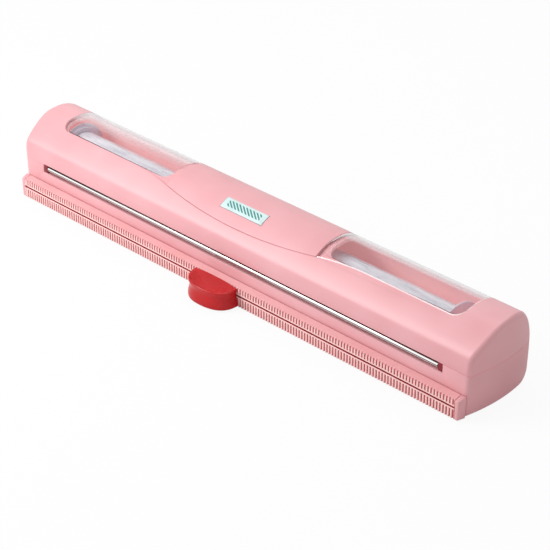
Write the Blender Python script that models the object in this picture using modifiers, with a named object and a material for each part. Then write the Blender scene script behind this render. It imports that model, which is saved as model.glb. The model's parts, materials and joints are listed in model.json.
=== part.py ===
"""Cling film dispenser with a hinged lid, a film roll on two end hubs, a chrome guide rod
and a slide cutter that runs along a ribbed rail.

Local places are measured from the middle of the rail's front face at the casing's underside:
X along the length, Y back from the rail's face, Z up. The frame empty then sets the whole part
on its feet, with the middle of its footprint at the origin.
"""
import math

import bmesh
import bpy
from mathutils import Matrix, Vector

# Clearances and shared sizes, in metres
GAP = 0.0003                 # between pieces that touch or fit
OVERRUN = 0.002              # how far a cutter runs past what it cuts
WALL = 0.0022                # moulded wall of the casing and the lid

# Film roll, its core and the end hubs: the casing is sized to take them
FILM_WIDTH = 0.316           # a 12.5 inch roll, trimmed
CORE_BORE_RADIUS = 0.0105
CORE_WALL = 0.0014
FILM_BUILD = 0.0022          # film wound on the core
CORE_RADIUS = CORE_BORE_RADIUS + CORE_WALL
FILM_RADIUS = CORE_RADIUS + GAP + FILM_BUILD
HUB_INSERT_LENGTH = 0.014
HUB_WALL = 0.0016
HUB_FLANGE_RADIUS = 0.0192
HUB_FLANGE_THICKNESS = 0.0050
HUB_COLLAR_RADIUS = 0.0167   # the step that the film's edge runs against
HUB_COLLAR = 0.0013
HUB_RIM_WIDTH = 0.0059
HUB_WEB = 0.0014
HUB_STUB_RADIUS = 0.0040
STUB_PROUD = 0.0021          # the stub's end beyond the cradle wall
CRADLE_THICKNESS = 0.0022
CRADLE_OFFSET = 0.0024       # cradle wall beyond the hub's flange
CRADLE_TOP_DROP = 0.0006
HORN_WIDTH = 0.0040          # cheeks that hold the stub on both sides
HORN_RISE = 0.0030           # above the roll's axis
ROLL_SETBACK = 0.0335        # the roll's axis behind the rail's face
ROLL_HEIGHT = 0.0270
ROLL_SHIFT = -0.0047         # the roll lies off the middle, to the left

# Cutter rail
SLOT_END_ROOM = 0.0107       # the film slot beyond the film's edge
SLOT_MARGIN = 0.0163         # the rail beyond the slot's end
SLOT_HALF_LENGTH = FILM_WIDTH / 2 + SLOT_END_ROOM
RAIL_LENGTH = 2 * (SLOT_HALF_LENGTH + SLOT_MARGIN)
RAIL_HEIGHT = 0.0120         # at the front face
RAIL_SLOPE_RISE = 0.0016     # from the front face to the casing
RAIL_CREST = RAIL_HEIGHT + RAIL_SLOPE_RISE
RAIL_DEPTH = 0.0052
RAIL_CAP_THICKNESS = 0.0024
CAP_PLUG_LENGTH = 0.006
SLIT_HEIGHT = 0.0073         # the slit's middle line
SLIT_WIDTH = 0.0011
SLIT_EYE_RADIUS = 0.0009
CHANNEL_FRONT = 0.0014       # wall between the face and the channel
CHANNEL_DEPTH = 0.0024
CHANNEL_HEIGHT = 0.0058
TONGUE_HEIGHT = 0.0014
TONGUE_REACH = 0.0012
TONGUE_LIFT = 0.0098
TONGUE_SETBACK = 0.008
RIB_PITCH = 0.0022
RIB_NOTCH_WIDTH = 0.0009
RIB_NOTCH_DEPTH = 0.0005
RIB_BAND_MARGIN = 0.0008     # plain band beside the slit and under the top edge

# Casing section and ends
BACK_ROOM = 0.0063           # from the hub's flange to the casing's back face
LID_HEADROOM = 0.0050        # from the hub's flange to the top of the lid
CASING_FRONT = RAIL_DEPTH + GAP
CASING_DEPTH = ROLL_SETBACK + HUB_FLANGE_RADIUS + BACK_ROOM - CASING_FRONT
CASING_HEIGHT = ROLL_HEIGHT + HUB_FLANGE_RADIUS + LID_HEADROOM
BACK_FOOT_RADIUS = 0.009
END_BULGE = 0.0039           # how far the end faces bow out in plan
END_DRAFT_SHARE = 0.029      # outward lean of the end faces
END_ROUND = 0.0026

# Film slot, guide rod and its bushes
SILL_RISE = 0.0068           # the slot's sill above the rail's crest
SLOT_HEIGHT = 0.0056
SLOT_SILL = RAIL_CREST + SILL_RISE
PARTING_HEIGHT = SLOT_SILL + SLOT_HEIGHT
ROD_RADIUS = 0.0021
ROD_SETBACK = 0.0022         # rod axis behind the casing's front face
JOURNAL_RADIUS = 0.0013
BUSH_FACE_WIDTH = 0.0032
BUSH_TAIL_WIDTH = 0.0036
BUSH_DEPTH = 0.0066
BUSH_SHELF_HEIGHT = 0.0030
BUSH_SHELF_WIDTH = 0.0070

# Lid: recess with two clear panes and the middle panel between them
PANE_THICKNESS = 0.0016
PANEL_HALF_LENGTH = 0.063
WINDOW_FRONT_MARGIN = 0.0146
WINDOW_BACK_MARGIN = 0.0070
WINDOW_END_MARGIN = 0.0177   # from the rail's end
PANEL_BOW = 0.0081           # how far the panel's front bows ahead of the windows
WINDOW_FRONT = CASING_FRONT + WINDOW_FRONT_MARGIN
WINDOW_BACK = CASING_FRONT + CASING_DEPTH - WINDOW_BACK_MARGIN
WINDOW_END = RAIL_LENGTH / 2 - WINDOW_END_MARGIN
PANEL_FRONT = WINDOW_FRONT - PANEL_BOW   # the panel's front border at mid length
WINDOW_CORNER_DROP = 0.0031  # the border dips towards the panel's corner
WINDOW_FLARE_LENGTH = 0.037
WINDOW_FLARE_START = PANEL_HALF_LENGTH + WINDOW_FLARE_LENGTH
WINDOW_CORNER_RADIUS = 0.0075
OPENING_MARGIN = 0.0018
OPENING_INNER_MARGIN = 0.004
OPENING_INNER_END = PANEL_HALF_LENGTH + OPENING_INNER_MARGIN
OPENING_CORNER_RADIUS = 0.006
LID_TONGUE_WIDTH = 0.006
LID_TONGUE_THICKNESS = 0.0014
LID_TONGUE_REACH = 0.004
LID_TONGUE_CLEARANCE = 0.0007
LID_TONGUE_INSET = 0.004
LID_TONGUE_ROOT_REACH = 0.0036

# Label plate
LABEL_LENGTH = 0.0345
LABEL_DEPTH = 0.0069
LABEL_SETBACK = 0.0075       # behind the panel's front border
LABEL_FRONT = PANEL_FRONT + LABEL_SETBACK
LABEL_BACK = LABEL_FRONT + LABEL_DEPTH
LABEL_SHIFT = -0.0008
LABEL_PROUD = 0.0002
LABEL_SEAT_DEPTH = 0.0007

# Lid hinges
HINGE_END_INSET = 0.075      # from the rail's end
HINGE_PLACE = RAIL_LENGTH / 2 - HINGE_END_INSET
HINGE_SETBACK = 0.0009       # axis behind the casing's back wall
KNUCKLE_RADIUS = 0.0027
KNUCKLE_LENGTH = 0.009
LID_KNUCKLE_LENGTH = 0.012
PIN_RADIUS = 0.0011
PIN_BORE_CLEARANCE = 0.00005
HINGE_CLEARANCE = 0.0004

# Slide cutter
SLIDER_REST = -0.0015
KNOB_LENGTH = 0.0370
KNOB_HEIGHT = 0.0122
KNOB_REACH = 0.0150
KNOB_DISH_DEPTH = 0.0016
PLAN_SQUARE_SHARE = 0.62     # how square the knob is from above: 1 is an oval
SIDE_SQUARE_SHARE = 0.55
DISH_SPREAD_SHARES = (0.80, 0.75)
DISH_PLACE_SHARE = 0.05
CARRIER_LENGTH = 0.024
CARRIER_NECK_LENGTH = 0.009
CARRIER_NECK_REACH = 0.0026
BLADE_LENGTH = 0.028
BLADE_EDGE_SLANT = 0.004
BLADE_THICKNESS = 0.0004
BLADE_FRONT_REACH = 0.0040
BLADE_BACK_REACH = 0.0012

# Feet
FOOT_RADIUS = 0.0065
FOOT_PROUD = 0.0008
FOOT_SEAT_DEPTH = 0.0012
FOOT_END_INSET = 0.022
FOOT_FRONT_INSET = 0.0125
FOOT_BACK_INSET = 0.0165

# Facets
ROUND_STEPS = 3
TURN_STEPS = 40

# The arch of the section, from the front wall over the top to the back wall:
# shares of the casing's depth and height
ARCH_SHARES = (
    (0.0, 0.605), (0.013, 0.688), (0.055, 0.750), (0.148, 0.830), (0.266, 0.913),
    (0.375, 0.970), (0.490, 0.995), (0.650, 1.0), (0.785, 0.955), (0.882, 0.855),
    (0.946, 0.730), (0.983, 0.600), (0.996, 0.469), (1.0, 0.332),
)
ARCH_LEAD_SHARES = ((0.0, 0.480), (1.0, 0.200))   # keep both ends of the arch upright

CASING_BACK = CASING_FRONT + CASING_DEPTH
HALF_RAIL = RAIL_LENGTH / 2
ROD_Y = CASING_FRONT + ROD_SETBACK
ROD_Z = (SLOT_SILL + PARTING_HEIGHT) / 2
HINGE_Y = CASING_BACK + HINGE_SETBACK
HINGE_Z = PARTING_HEIGHT
CHANNEL_BACK = CHANNEL_FRONT + CHANNEL_DEPTH
FRAME_SHIFT = (KNOB_REACH - (HINGE_Y + KNUCKLE_RADIUS)) / 2


def clear_scene():
    for old in list(bpy.data.objects):
        bpy.data.objects.remove(old, do_unlink=True)


def new_collection(name):
    made = bpy.data.collections.new(name)
    bpy.context.scene.collection.children.link(made)
    return made


clear_scene()
PARTS = new_collection("cling_film_dispenser")
TOOLS = new_collection("cutters")


def new_material(name, colour, roughness, metallic=0.0, alpha=1.0):
    made = bpy.data.materials.new(name)
    made.use_nodes = True
    shader = made.node_tree.nodes["Principled BSDF"]
    shader.inputs["Base Color"].default_value = (*colour, 1.0)
    shader.inputs["Roughness"].default_value = roughness
    shader.inputs["Metallic"].default_value = metallic
    shader.inputs["Alpha"].default_value = alpha
    return made


PINK = (0.93, 0.46, 0.49)
DARK_RED = (0.30, 0.02, 0.04)
RED = (0.62, 0.03, 0.04)
CLEAR = (0.90, 0.92, 0.93)
FILM_WHITE = (0.86, 0.87, 0.88)
HUB_GREY = (0.60, 0.58, 0.64)
BOARD = (0.70, 0.62, 0.50)
STEEL = (0.75, 0.75, 0.76)
MINT = (0.74, 0.88, 0.86)
PAD_GREY = (0.32, 0.32, 0.33)


def new_empty(name, place, parent=None):
    made = bpy.data.objects.new(name, None)
    made.location = place
    made.parent = parent
    PARTS.objects.link(made)
    return made


FRAME = new_empty("dispenser_frame", (0, FRAME_SHIFT, FOOT_PROUD))
LID_AXIS = new_empty("lid_axis", (0, HINGE_Y, HINGE_Z), FRAME)
ROLL_AXIS = new_empty("roll_axis", (ROLL_SHIFT, ROLL_SETBACK, ROLL_HEIGHT), FRAME)
ROD_AXIS = new_empty("rod_axis", (0, ROD_Y, ROD_Z), FRAME)
SLIDER_AXIS = new_empty("slider_axis", (SLIDER_REST, 0, SLIT_HEIGHT), FRAME)


def add_part(name, mesh, axis=None):
    """Link a finished mesh as one piece, carried by the frame or by a joint's empty."""
    made = bpy.data.objects.new(name, mesh)
    made.parent = axis or FRAME
    if axis:
        made.location = -Vector(axis.location)
    PARTS.objects.link(made)
    return made


def add_tool(name, mesh):
    made = bpy.data.objects.new(name, mesh)
    made.parent = FRAME
    made.hide_render = True
    made.display_type = "WIRE"
    TOOLS.objects.link(made)
    return made


def finish(piece, colour, roughness, metallic=0.0, alpha=1.0, smooth=False):
    piece.data.materials.append(new_material(piece.name, colour, roughness, metallic, alpha))
    if smooth:
        piece.data.shade_smooth()
        piece.data.set_sharp_from_angle(angle=math.radians(35))


def combine(piece, tool, operation):
    step = piece.modifiers.new(f"{operation.lower()}_{tool.name}", "BOOLEAN")
    step.operation = operation
    step.object = tool
    step.solver = "EXACT"


def cut(piece, *tools):
    for tool in tools:
        combine(piece, tool, "DIFFERENCE")


def join(piece, *tools):
    for tool in tools:
        combine(piece, tool, "UNION")


def mesh_from(form, name):
    bmesh.ops.triangulate(form, faces=form.faces)
    mesh = bpy.data.meshes.new(name)
    form.to_mesh(mesh)
    form.free()
    return mesh


def box_mesh(name, low, high):
    """A box from its lowest and highest corners."""
    low = Vector(low)
    high = Vector(high)
    form = bmesh.new()
    size = high - low
    place = Matrix.Translation((low + high) / 2) @ Matrix.Diagonal((*size, 1.0))
    bmesh.ops.create_cube(form, size=1.0, matrix=place)
    mesh = bpy.data.meshes.new(name)
    form.to_mesh(mesh)
    form.free()
    return mesh


def cylinder_mesh(name, start, end, radius, steps=TURN_STEPS):
    """A round bar between two points."""
    start = Vector(start)
    end = Vector(end)
    run = end - start
    turn = Vector((0, 0, 1)).rotation_difference(run).to_matrix().to_4x4()
    form = bmesh.new()
    bmesh.ops.create_cone(form, cap_ends=True, segments=steps, radius1=radius, radius2=radius,
                          depth=run.length, matrix=Matrix.Translation((start + end) / 2) @ turn)
    mesh = bpy.data.meshes.new(name)
    form.to_mesh(mesh)
    form.free()
    return mesh


def merged_mesh(name, meshes):
    """One mesh that holds several separate bodies, for a cutter that cuts in many places."""
    form = bmesh.new()
    for mesh in meshes:
        form.from_mesh(mesh)
        bpy.data.meshes.remove(mesh)
    mesh = bpy.data.meshes.new(name)
    form.to_mesh(mesh)
    form.free()
    return mesh


def outline_mesh(name, outline, low, high, plane="XY"):
    """A flat outline, extruded from low to high along the axis that its plane leaves free."""
    curve = bpy.data.curves.new(name, "CURVE")
    curve.dimensions = "2D"
    curve.fill_mode = "BOTH"
    curve.extrude = (high - low) / 2
    spline = curve.splines.new("POLY")
    spline.points.add(len(outline) - 1)
    for point, place in zip(spline.points, outline):
        point.co = (place[0], place[1], 0, 1)
    spline.use_cyclic_u = True
    drawn = bpy.data.objects.new(name, curve)
    PARTS.objects.link(drawn)
    bpy.context.view_layer.update()
    mesh = bpy.data.meshes.new_from_object(drawn.evaluated_get(bpy.context.evaluated_depsgraph_get()))
    bpy.data.objects.remove(drawn)
    bpy.data.curves.remove(curve)
    middle = (low + high) / 2
    turns = {
        "XY": Matrix(((1, 0, 0, 0), (0, 1, 0, 0), (0, 0, 1, middle), (0, 0, 0, 1))),
        "YZ": Matrix(((0, 0, 1, middle), (1, 0, 0, 0), (0, 1, 0, 0), (0, 0, 0, 1))),
    }
    mesh.transform(turns[plane])
    form = bmesh.new()
    form.from_mesh(mesh)
    bmesh.ops.remove_doubles(form, verts=form.verts, dist=GAP / 100)
    bmesh.ops.recalc_face_normals(form, faces=form.faces)
    form.to_mesh(mesh)
    form.free()
    mesh.name = name
    return mesh


def turned_part(name, profile, axis, along):
    """A turned piece: its profile, as (radius, place along X), spun about X by a Screw modifier."""
    form = bmesh.new()
    points = [form.verts.new((radius, 0, place)) for radius, place in profile]
    closed = profile[0][0] > 0
    for first, second in zip(points, points[1:] + points[:1] if closed else points[1:]):
        form.edges.new((first, second))
    mesh = bpy.data.meshes.new(name)
    form.to_mesh(mesh)
    form.free()
    made = bpy.data.objects.new(name, mesh)
    made.parent = axis
    made.location = (along, 0, 0)
    made.rotation_euler = (0, math.radians(90), 0)
    PARTS.objects.link(made)
    spin = made.modifiers.new("spin", "SCREW")
    spin.axis = "Z"
    spin.angle = math.radians(360)
    spin.steps = TURN_STEPS
    spin.render_steps = TURN_STEPS
    spin.use_merge_vertices = True
    spin.merge_threshold = GAP / 100
    return made


def arc(centre, radius, start, end, steps):
    """Points on a round arc, by angle in degrees."""
    places = []
    for step in range(steps + 1):
        angle = math.radians(start + (end - start) * step / steps)
        places.append((centre[0] + radius * math.cos(angle), centre[1] + radius * math.sin(angle)))
    return places


def smooth_line(points, lead, tail, steps):
    """A curve through the points, with a lead and a tail point that set its end directions."""
    chain = [lead, *points, tail]
    places = []
    for index in range(1, len(chain) - 2):
        before, start, end, after = (Vector(chain[index + offset]) for offset in (-1, 0, 1, 2))
        for step in range(steps):
            t = step / steps
            places.append(0.5 * (2 * start + (end - before) * t
                                 + (2 * before - 5 * start + 4 * end - after) * t ** 2
                                 + (3 * start - before - 3 * end + after) * t ** 3))
    places.append(Vector(points[-1]))
    return places


def casing_section(side_inset=0.0, top_extra=0.0, steps=2):
    """The section, drawn in by side_inset and by top_extra more at its top, as two chains with the
    same places in Y: one along the underside and one over the arch."""
    shares = smooth_line(ARCH_SHARES, *ARCH_LEAD_SHARES, steps)
    arch = [Vector((CASING_FRONT + share.x * CASING_DEPTH, share.y * CASING_HEIGHT)) for share in shares]
    upper = []
    for index, here in enumerate(arch):
        run = arch[min(index + 1, len(arch) - 1)] - arch[max(index - 1, 0)]
        outward = Vector((-run.y, run.x)).normalized()
        if index in (0, len(arch) - 1):
            outward = Vector((-1, 0) if index == 0 else (1, 0))
        upper.append(here - outward * (side_inset + top_extra * max(outward.y, 0)))
    lower = []
    for point in upper:
        turned = point.x - (CASING_BACK - BACK_FOOT_RADIUS)
        foot = BACK_FOOT_RADIUS - side_inset
        rise = foot - math.sqrt(max(foot ** 2 - turned ** 2, 0)) if turned > 0 else 0
        lower.append(Vector((point.x, side_inset + rise)))
    return lower, upper


def end_reach(y, z):
    """How far the casing reaches along X at a place of its section: bowed in plan, and leaning out."""
    across = 2 * y / CASING_BACK - 1
    return HALF_RAIL + END_BULGE * (1 - across ** 2) + END_DRAFT_SHARE * z


def casing_body(name, side_inset=0.0, top_extra=0.0, end_inset=0.0, edge_round=0.0):
    """The casing's outer form, or that form drawn in, as one closed body with bowed ends."""
    steps = ROUND_STEPS if edge_round else 0
    form = bmesh.new()
    rings = []
    for side in (-1, 1):
        order = range(steps, -1, -1) if side < 0 else range(steps + 1)
        for step in order:
            turn = math.radians(90) * step / max(steps, 1)
            draw = edge_round * (1 - math.cos(turn))
            back_off = end_inset + edge_round * (1 - math.sin(turn))
            lower, upper = casing_section(side_inset + draw, top_extra)
            rings.append([form.verts.new((side * (end_reach(*point) - back_off), *point))
                          for point in lower + upper[::-1]])
    count = len(rings[0]) // 2
    for ring, following in zip(rings, rings[1:]):
        for index in range(len(ring)):
            nextone = (index + 1) % len(ring)
            form.faces.new((ring[index], ring[nextone], following[nextone], following[index]))
    for ring, outward in ((rings[0], -1), (rings[-1], 1)):
        over = ring[:count - 1:-1]
        for index in range(count - 1):
            corners = [ring[index], ring[index + 1], over[index + 1], over[index]]
            form.faces.new(corners if outward > 0 else corners[::-1])
    return mesh_from(form, name)


def window_border(x):
    """The recess's front border at a place along X: it dips towards the panel's corner."""
    lead = max(WINDOW_FLARE_START - x, 0) / (WINDOW_FLARE_START - PANEL_HALF_LENGTH)
    return WINDOW_FRONT - WINDOW_CORNER_DROP * lead ** 2


def pane_plan(side, inset, inner_end):
    """A window pane seen from above, from the panel's side out to its rounded end."""
    round_radius = WINDOW_CORNER_RADIUS - inset
    end = WINDOW_END - inset
    steps = 8
    outline = []
    for step in range(steps):
        x = inner_end + (WINDOW_FLARE_START - inner_end) * step / steps
        outline.append((x, window_border(x) + inset))
    outline += arc((end - round_radius, window_border(end) + inset + round_radius), round_radius, -90, 0, 6)
    outline += arc((end - round_radius, WINDOW_BACK - inset - round_radius), round_radius, 0, 90, 6)
    outline.append((inner_end, WINDOW_BACK - inset))
    if side < 0:
        outline = [(-x, y) for x, y in outline[::-1]]
    return outline


def panel_plan(inset, half_length):
    """The middle panel seen from above: straight ends, and a front border that bows forward."""
    steps = 16
    sag = WINDOW_FRONT - WINDOW_CORNER_DROP - PANEL_FRONT
    outline = []
    for step in range(steps + 1):
        x = half_length * (2 * step / steps - 1)
        outline.append((x, PANEL_FRONT + sag * (x / PANEL_HALF_LENGTH) ** 2 + inset))
    outline += [(half_length, WINDOW_BACK - inset), (-half_length, WINDOW_BACK - inset)]
    return outline


def rounded_plan(low, high, radius):
    """A rectangle with round corners."""
    outline = []
    for x, y, start in ((high[0] - radius, low[1] + radius, -90), (high[0] - radius, high[1] - radius, 0),
                        (low[0] + radius, high[1] - radius, 90), (low[0] + radius, low[1] + radius, 180)):
        outline += arc((x, y), radius, start, start + 90, 5)
    return outline


def lid_knuckle_spans():
    """X spans of the lid's knuckles, in the middle of each hinge."""
    return [(side * HINGE_PLACE - LID_KNUCKLE_LENGTH / 2, side * HINGE_PLACE + LID_KNUCKLE_LENGTH / 2)
            for side in (-1, 1)]


def casing_knuckle_spans():
    """X spans of the casing's knuckles, on both sides of each of the lid's."""
    inner = LID_KNUCKLE_LENGTH / 2 + GAP
    spans = []
    for side in (-1, 1):
        middle = side * HINGE_PLACE
        spans.append((middle - inner - KNUCKLE_LENGTH, middle - inner))
        spans.append((middle + inner, middle + inner + KNUCKLE_LENGTH))
    return spans


def knuckle_tools(name, spans):
    """Each knuckle as a round bar that its shell's back wall carries."""
    return [add_tool(f"{name}_{index}", cylinder_mesh(name, (low, HINGE_Y, HINGE_Z), (high, HINGE_Y, HINGE_Z),
                                                      KNUCKLE_RADIUS, 20))
            for index, (low, high) in enumerate(spans)]


def knuckle_room(name, spans, low, high):
    """Room for the other shell's knuckles, cut from this shell's back wall."""
    reach = KNUCKLE_RADIUS + HINGE_CLEARANCE
    meshes = [box_mesh(name, (start - GAP, HINGE_Y - reach, low), (stop + GAP, HINGE_Y + reach, high))
              for start, stop in spans]
    return add_tool(name, merged_mesh(name, meshes))


LID_SPANS = lid_knuckle_spans()
CASING_SPANS = casing_knuckle_spans()
HINGE_HALF_LENGTH = LID_KNUCKLE_LENGTH / 2 + GAP + KNUCKLE_LENGTH
PIN_BORES = add_tool("pin_bores", merged_mesh("pin_bores", [
    cylinder_mesh("pin_bore", (side * HINGE_PLACE - HINGE_HALF_LENGTH - OVERRUN, HINGE_Y, HINGE_Z),
                  (side * HINGE_PLACE + HINGE_HALF_LENGTH + OVERRUN, HINGE_Y, HINGE_Z),
                  PIN_RADIUS + PIN_BORE_CLEARANCE, 16)
    for side in (-1, 1)]))
HUB_FLANGE_START = FILM_WIDTH / 2 + GAP
CRADLE_START = HUB_FLANGE_START + HUB_FLANGE_THICKNESS + CRADLE_OFFSET
FOOT_PLACES = [(side * (HALF_RAIL - FOOT_END_INSET), y)
               for side in (-1, 1) for y in (FOOT_FRONT_INSET + CASING_FRONT, CASING_BACK - FOOT_BACK_INSET)]


def make_base_casing():
    casing = add_part("base_casing", casing_body("base_casing", edge_round=END_ROUND))
    reach = HALF_RAIL + END_BULGE + CASING_HEIGHT
    above = add_tool("above_parting", box_mesh("above_parting",
                                               (-reach, -OVERRUN, PARTING_HEIGHT - GAP / 2),
                                               (reach, CASING_BACK + OVERRUN, CASING_HEIGHT + OVERRUN)))
    cavity = add_tool("base_cavity", casing_body("base_cavity", side_inset=WALL, end_inset=WALL))
    cut(casing, above, cavity)

    fill = add_tool("cradle_fill", casing_body("cradle_fill", side_inset=WALL / 2, end_inset=WALL / 2))
    for side in (-1, 1):
        start = ROLL_SHIFT + side * CRADLE_START
        stop = ROLL_SHIFT + side * (CRADLE_START + CRADLE_THICKNESS)
        wall = add_tool(f"cradle_{side}", box_mesh(
            "cradle", (min(start, stop), CASING_FRONT + GAP + BUSH_DEPTH, 0),
            (max(start, stop), CASING_BACK, PARTING_HEIGHT - CRADLE_TOP_DROP)))
        combine(wall, fill, "INTERSECT")
        horn = HUB_STUB_RADIUS + GAP + HORN_WIDTH
        horns = add_tool(f"cradle_horns_{side}", box_mesh(
            "cradle_horns", (min(start, stop), ROLL_SETBACK - horn, ROLL_HEIGHT - horn),
            (max(start, stop), ROLL_SETBACK + horn, ROLL_HEIGHT + HORN_RISE)))
        join(casing, wall, horns)
        outer = side * (SLOT_HALF_LENGTH + BUSH_TAIL_WIDTH + GAP)
        inner = outer - side * BUSH_SHELF_WIDTH
        join(casing, add_tool(f"bush_shelf_{side}", box_mesh(
            "bush_shelf", (min(outer, inner), CASING_FRONT + WALL / 2, SLOT_SILL - GAP - BUSH_SHELF_HEIGHT),
            (max(outer, inner), CASING_FRONT + GAP + BUSH_DEPTH, SLOT_SILL - GAP))))

    stub_room = HUB_STUB_RADIUS + GAP
    notch = arc((ROLL_SETBACK, ROLL_HEIGHT), stub_room, 180, 360, 12)
    notch += [(ROLL_SETBACK + stub_room, ROLL_HEIGHT + HORN_RISE + OVERRUN),
              (ROLL_SETBACK - stub_room, ROLL_HEIGHT + HORN_RISE + OVERRUN)]
    for side in (-1, 1):
        ends = sorted((ROLL_SHIFT + side * (CRADLE_START - OVERRUN),
                       ROLL_SHIFT + side * (CRADLE_START + CRADLE_THICKNESS + OVERRUN)))
        cut(casing, add_tool(f"stub_notch_{side}", outline_mesh("stub_notch", notch, *ends, plane="YZ")))

    slot = add_tool("film_slot", box_mesh("film_slot",
                                          (-SLOT_HALF_LENGTH, -OVERRUN, SLOT_SILL),
                                          (SLOT_HALF_LENGTH, ROD_Y + ROD_RADIUS + OVERRUN,
                                           PARTING_HEIGHT + OVERRUN)))
    groove_end = HALF_RAIL - TONGUE_SETBACK + GAP
    groove = add_tool("tongue_groove", box_mesh("tongue_groove",
                                                (-groove_end, -OVERRUN, TONGUE_LIFT - GAP),
                                                (groove_end, CASING_FRONT + TONGUE_REACH + GAP,
                                                 TONGUE_LIFT + TONGUE_HEIGHT + GAP)))
    seats = add_tool("foot_seats", merged_mesh("foot_seats", [
        cylinder_mesh("foot_seat", (x, y, -OVERRUN), (x, y, FOOT_SEAT_DEPTH), FOOT_RADIUS + GAP, 28)
        for x, y in FOOT_PLACES]))
    cut(casing, slot, groove, seats)

    low = HINGE_Z - KNUCKLE_RADIUS - HINGE_CLEARANCE
    cut(casing, knuckle_room("lid_knuckle_room", LID_SPANS, low, PARTING_HEIGHT + OVERRUN))
    join(casing, *knuckle_tools("casing_knuckle", CASING_SPANS))
    cut(casing, PIN_BORES)
    finish(casing, PINK, 0.34)


def make_lid():
    lid = add_part("lid_shell", casing_body("lid_shell", edge_round=END_ROUND), LID_AXIS)
    reach = HALF_RAIL + END_BULGE + CASING_HEIGHT
    below = add_tool("below_parting", box_mesh("below_parting", (-reach, -OVERRUN, -OVERRUN),
                                               (reach, CASING_BACK + OVERRUN, PARTING_HEIGHT + GAP / 2)))
    cavity = add_tool("lid_cavity", casing_body("lid_cavity", side_inset=WALL, top_extra=PANE_THICKNESS,
                                                end_inset=WALL))
    cut(lid, below, cavity)

    floor = add_tool("recess_floor", casing_body("recess_floor", side_inset=PANE_THICKNESS + GAP))
    roof = CASING_HEIGHT + OVERRUN
    middle = CASING_HEIGHT / 2 + OVERRUN
    plans = {
        "panel": panel_plan(0, PANEL_HALF_LENGTH),
        "left": pane_plan(-1, 0, PANEL_HALF_LENGTH - OVERRUN / 2),
        "right": pane_plan(1, 0, PANEL_HALF_LENGTH - OVERRUN / 2),
    }
    for place, plan in plans.items():
        tool = add_tool(f"recess_{place}", outline_mesh("recess", plan, middle, roof))
        cut(tool, floor)
        cut(lid, tool)
    for side in (-1, 1):
        ends = sorted((side * OPENING_INNER_END, side * (WINDOW_END - OPENING_MARGIN)))
        plan = rounded_plan((ends[0], WINDOW_FRONT + OPENING_MARGIN), (ends[1], WINDOW_BACK - OPENING_MARGIN),
                            OPENING_CORNER_RADIUS)
        cut(lid, add_tool(f"opening_{side}", outline_mesh("opening", plan, middle, roof)))

    front = CASING_FRONT + WALL + LID_TONGUE_CLEARANCE
    for side in (-1, 1):
        outer = side * (HALF_RAIL - WALL - LID_TONGUE_INSET)
        inner = outer - side * LID_TONGUE_WIDTH
        join(lid, add_tool(f"lid_tongue_{side}", box_mesh(
            "lid_tongue", (min(outer, inner), front, PARTING_HEIGHT - LID_TONGUE_REACH),
            (max(outer, inner), front + LID_TONGUE_THICKNESS, PARTING_HEIGHT + LID_TONGUE_REACH))))
        join(lid, add_tool(f"lid_tongue_root_{side}", box_mesh(
            "lid_tongue_root",
            (min(outer, inner), CASING_FRONT + WALL / 2, PARTING_HEIGHT + LID_TONGUE_REACH / 2),
            (max(outer, inner), front + LID_TONGUE_THICKNESS / 2, PARTING_HEIGHT + LID_TONGUE_ROOT_REACH))))

    high = HINGE_Z + KNUCKLE_RADIUS + HINGE_CLEARANCE
    cut(lid, knuckle_room("casing_knuckle_room", CASING_SPANS, PARTING_HEIGHT - OVERRUN, high))
    join(lid, *knuckle_tools("lid_knuckle", LID_SPANS))
    cut(lid, PIN_BORES)
    finish(lid, PINK, 0.34)


def skin_piece(name, plan, proud, thickness, seat=None):
    """A piece of the lid's own curved skin: its plan, cut out between two offsets of the casing's form."""
    roof = CASING_HEIGHT + OVERRUN
    piece = add_part(name, outline_mesh(name, plan, CASING_HEIGHT / 2, roof), LID_AXIS)
    outer = add_tool(f"{name}_outer", casing_body(f"{name}_outer", side_inset=-proud))
    inner = add_tool(f"{name}_inner", casing_body(f"{name}_inner", side_inset=thickness - proud))
    combine(piece, outer, "INTERSECT")
    cut(piece, inner)
    if seat:
        cut(piece, seat)
    return piece


def make_lid_pieces():
    side_end = PANEL_HALF_LENGTH + GAP / 2
    for side, name in ((-1, "window_pane_left"), (1, "window_pane_right")):
        pane = skin_piece(name, pane_plan(side, GAP, side_end), 0.0, PANE_THICKNESS)
        finish(pane, CLEAR, 0.06, alpha=0.3)

    start = LABEL_SHIFT - LABEL_LENGTH / 2
    end = LABEL_SHIFT + LABEL_LENGTH / 2
    seat = add_tool("label_seat", box_mesh("label_seat", (start - GAP, LABEL_FRONT - GAP, CASING_HEIGHT / 2),
                                           (end + GAP, LABEL_BACK + GAP, CASING_HEIGHT + OVERRUN)))
    cut(seat, add_tool("label_seat_floor", casing_body("label_seat_floor", side_inset=LABEL_SEAT_DEPTH)))
    plan = panel_plan(GAP, PANEL_HALF_LENGTH - GAP / 2)
    panel = skin_piece("centre_panel", plan, 0.0, PANE_THICKNESS, seat)
    finish(panel, PINK, 0.34)

    plan = [(start, LABEL_FRONT), (end, LABEL_FRONT), (end, LABEL_BACK), (start, LABEL_BACK)]
    label = skin_piece("label_plate", plan, LABEL_PROUD, LABEL_SEAT_DEPTH - GAP + LABEL_PROUD)
    finish(label, MINT, 0.4)


def rail_section():
    """The rail's section: upright face, top sloping up to the casing."""
    return [(0, 0), (RAIL_DEPTH, 0), (RAIL_DEPTH, RAIL_CREST), (0, RAIL_HEIGHT)]


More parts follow.
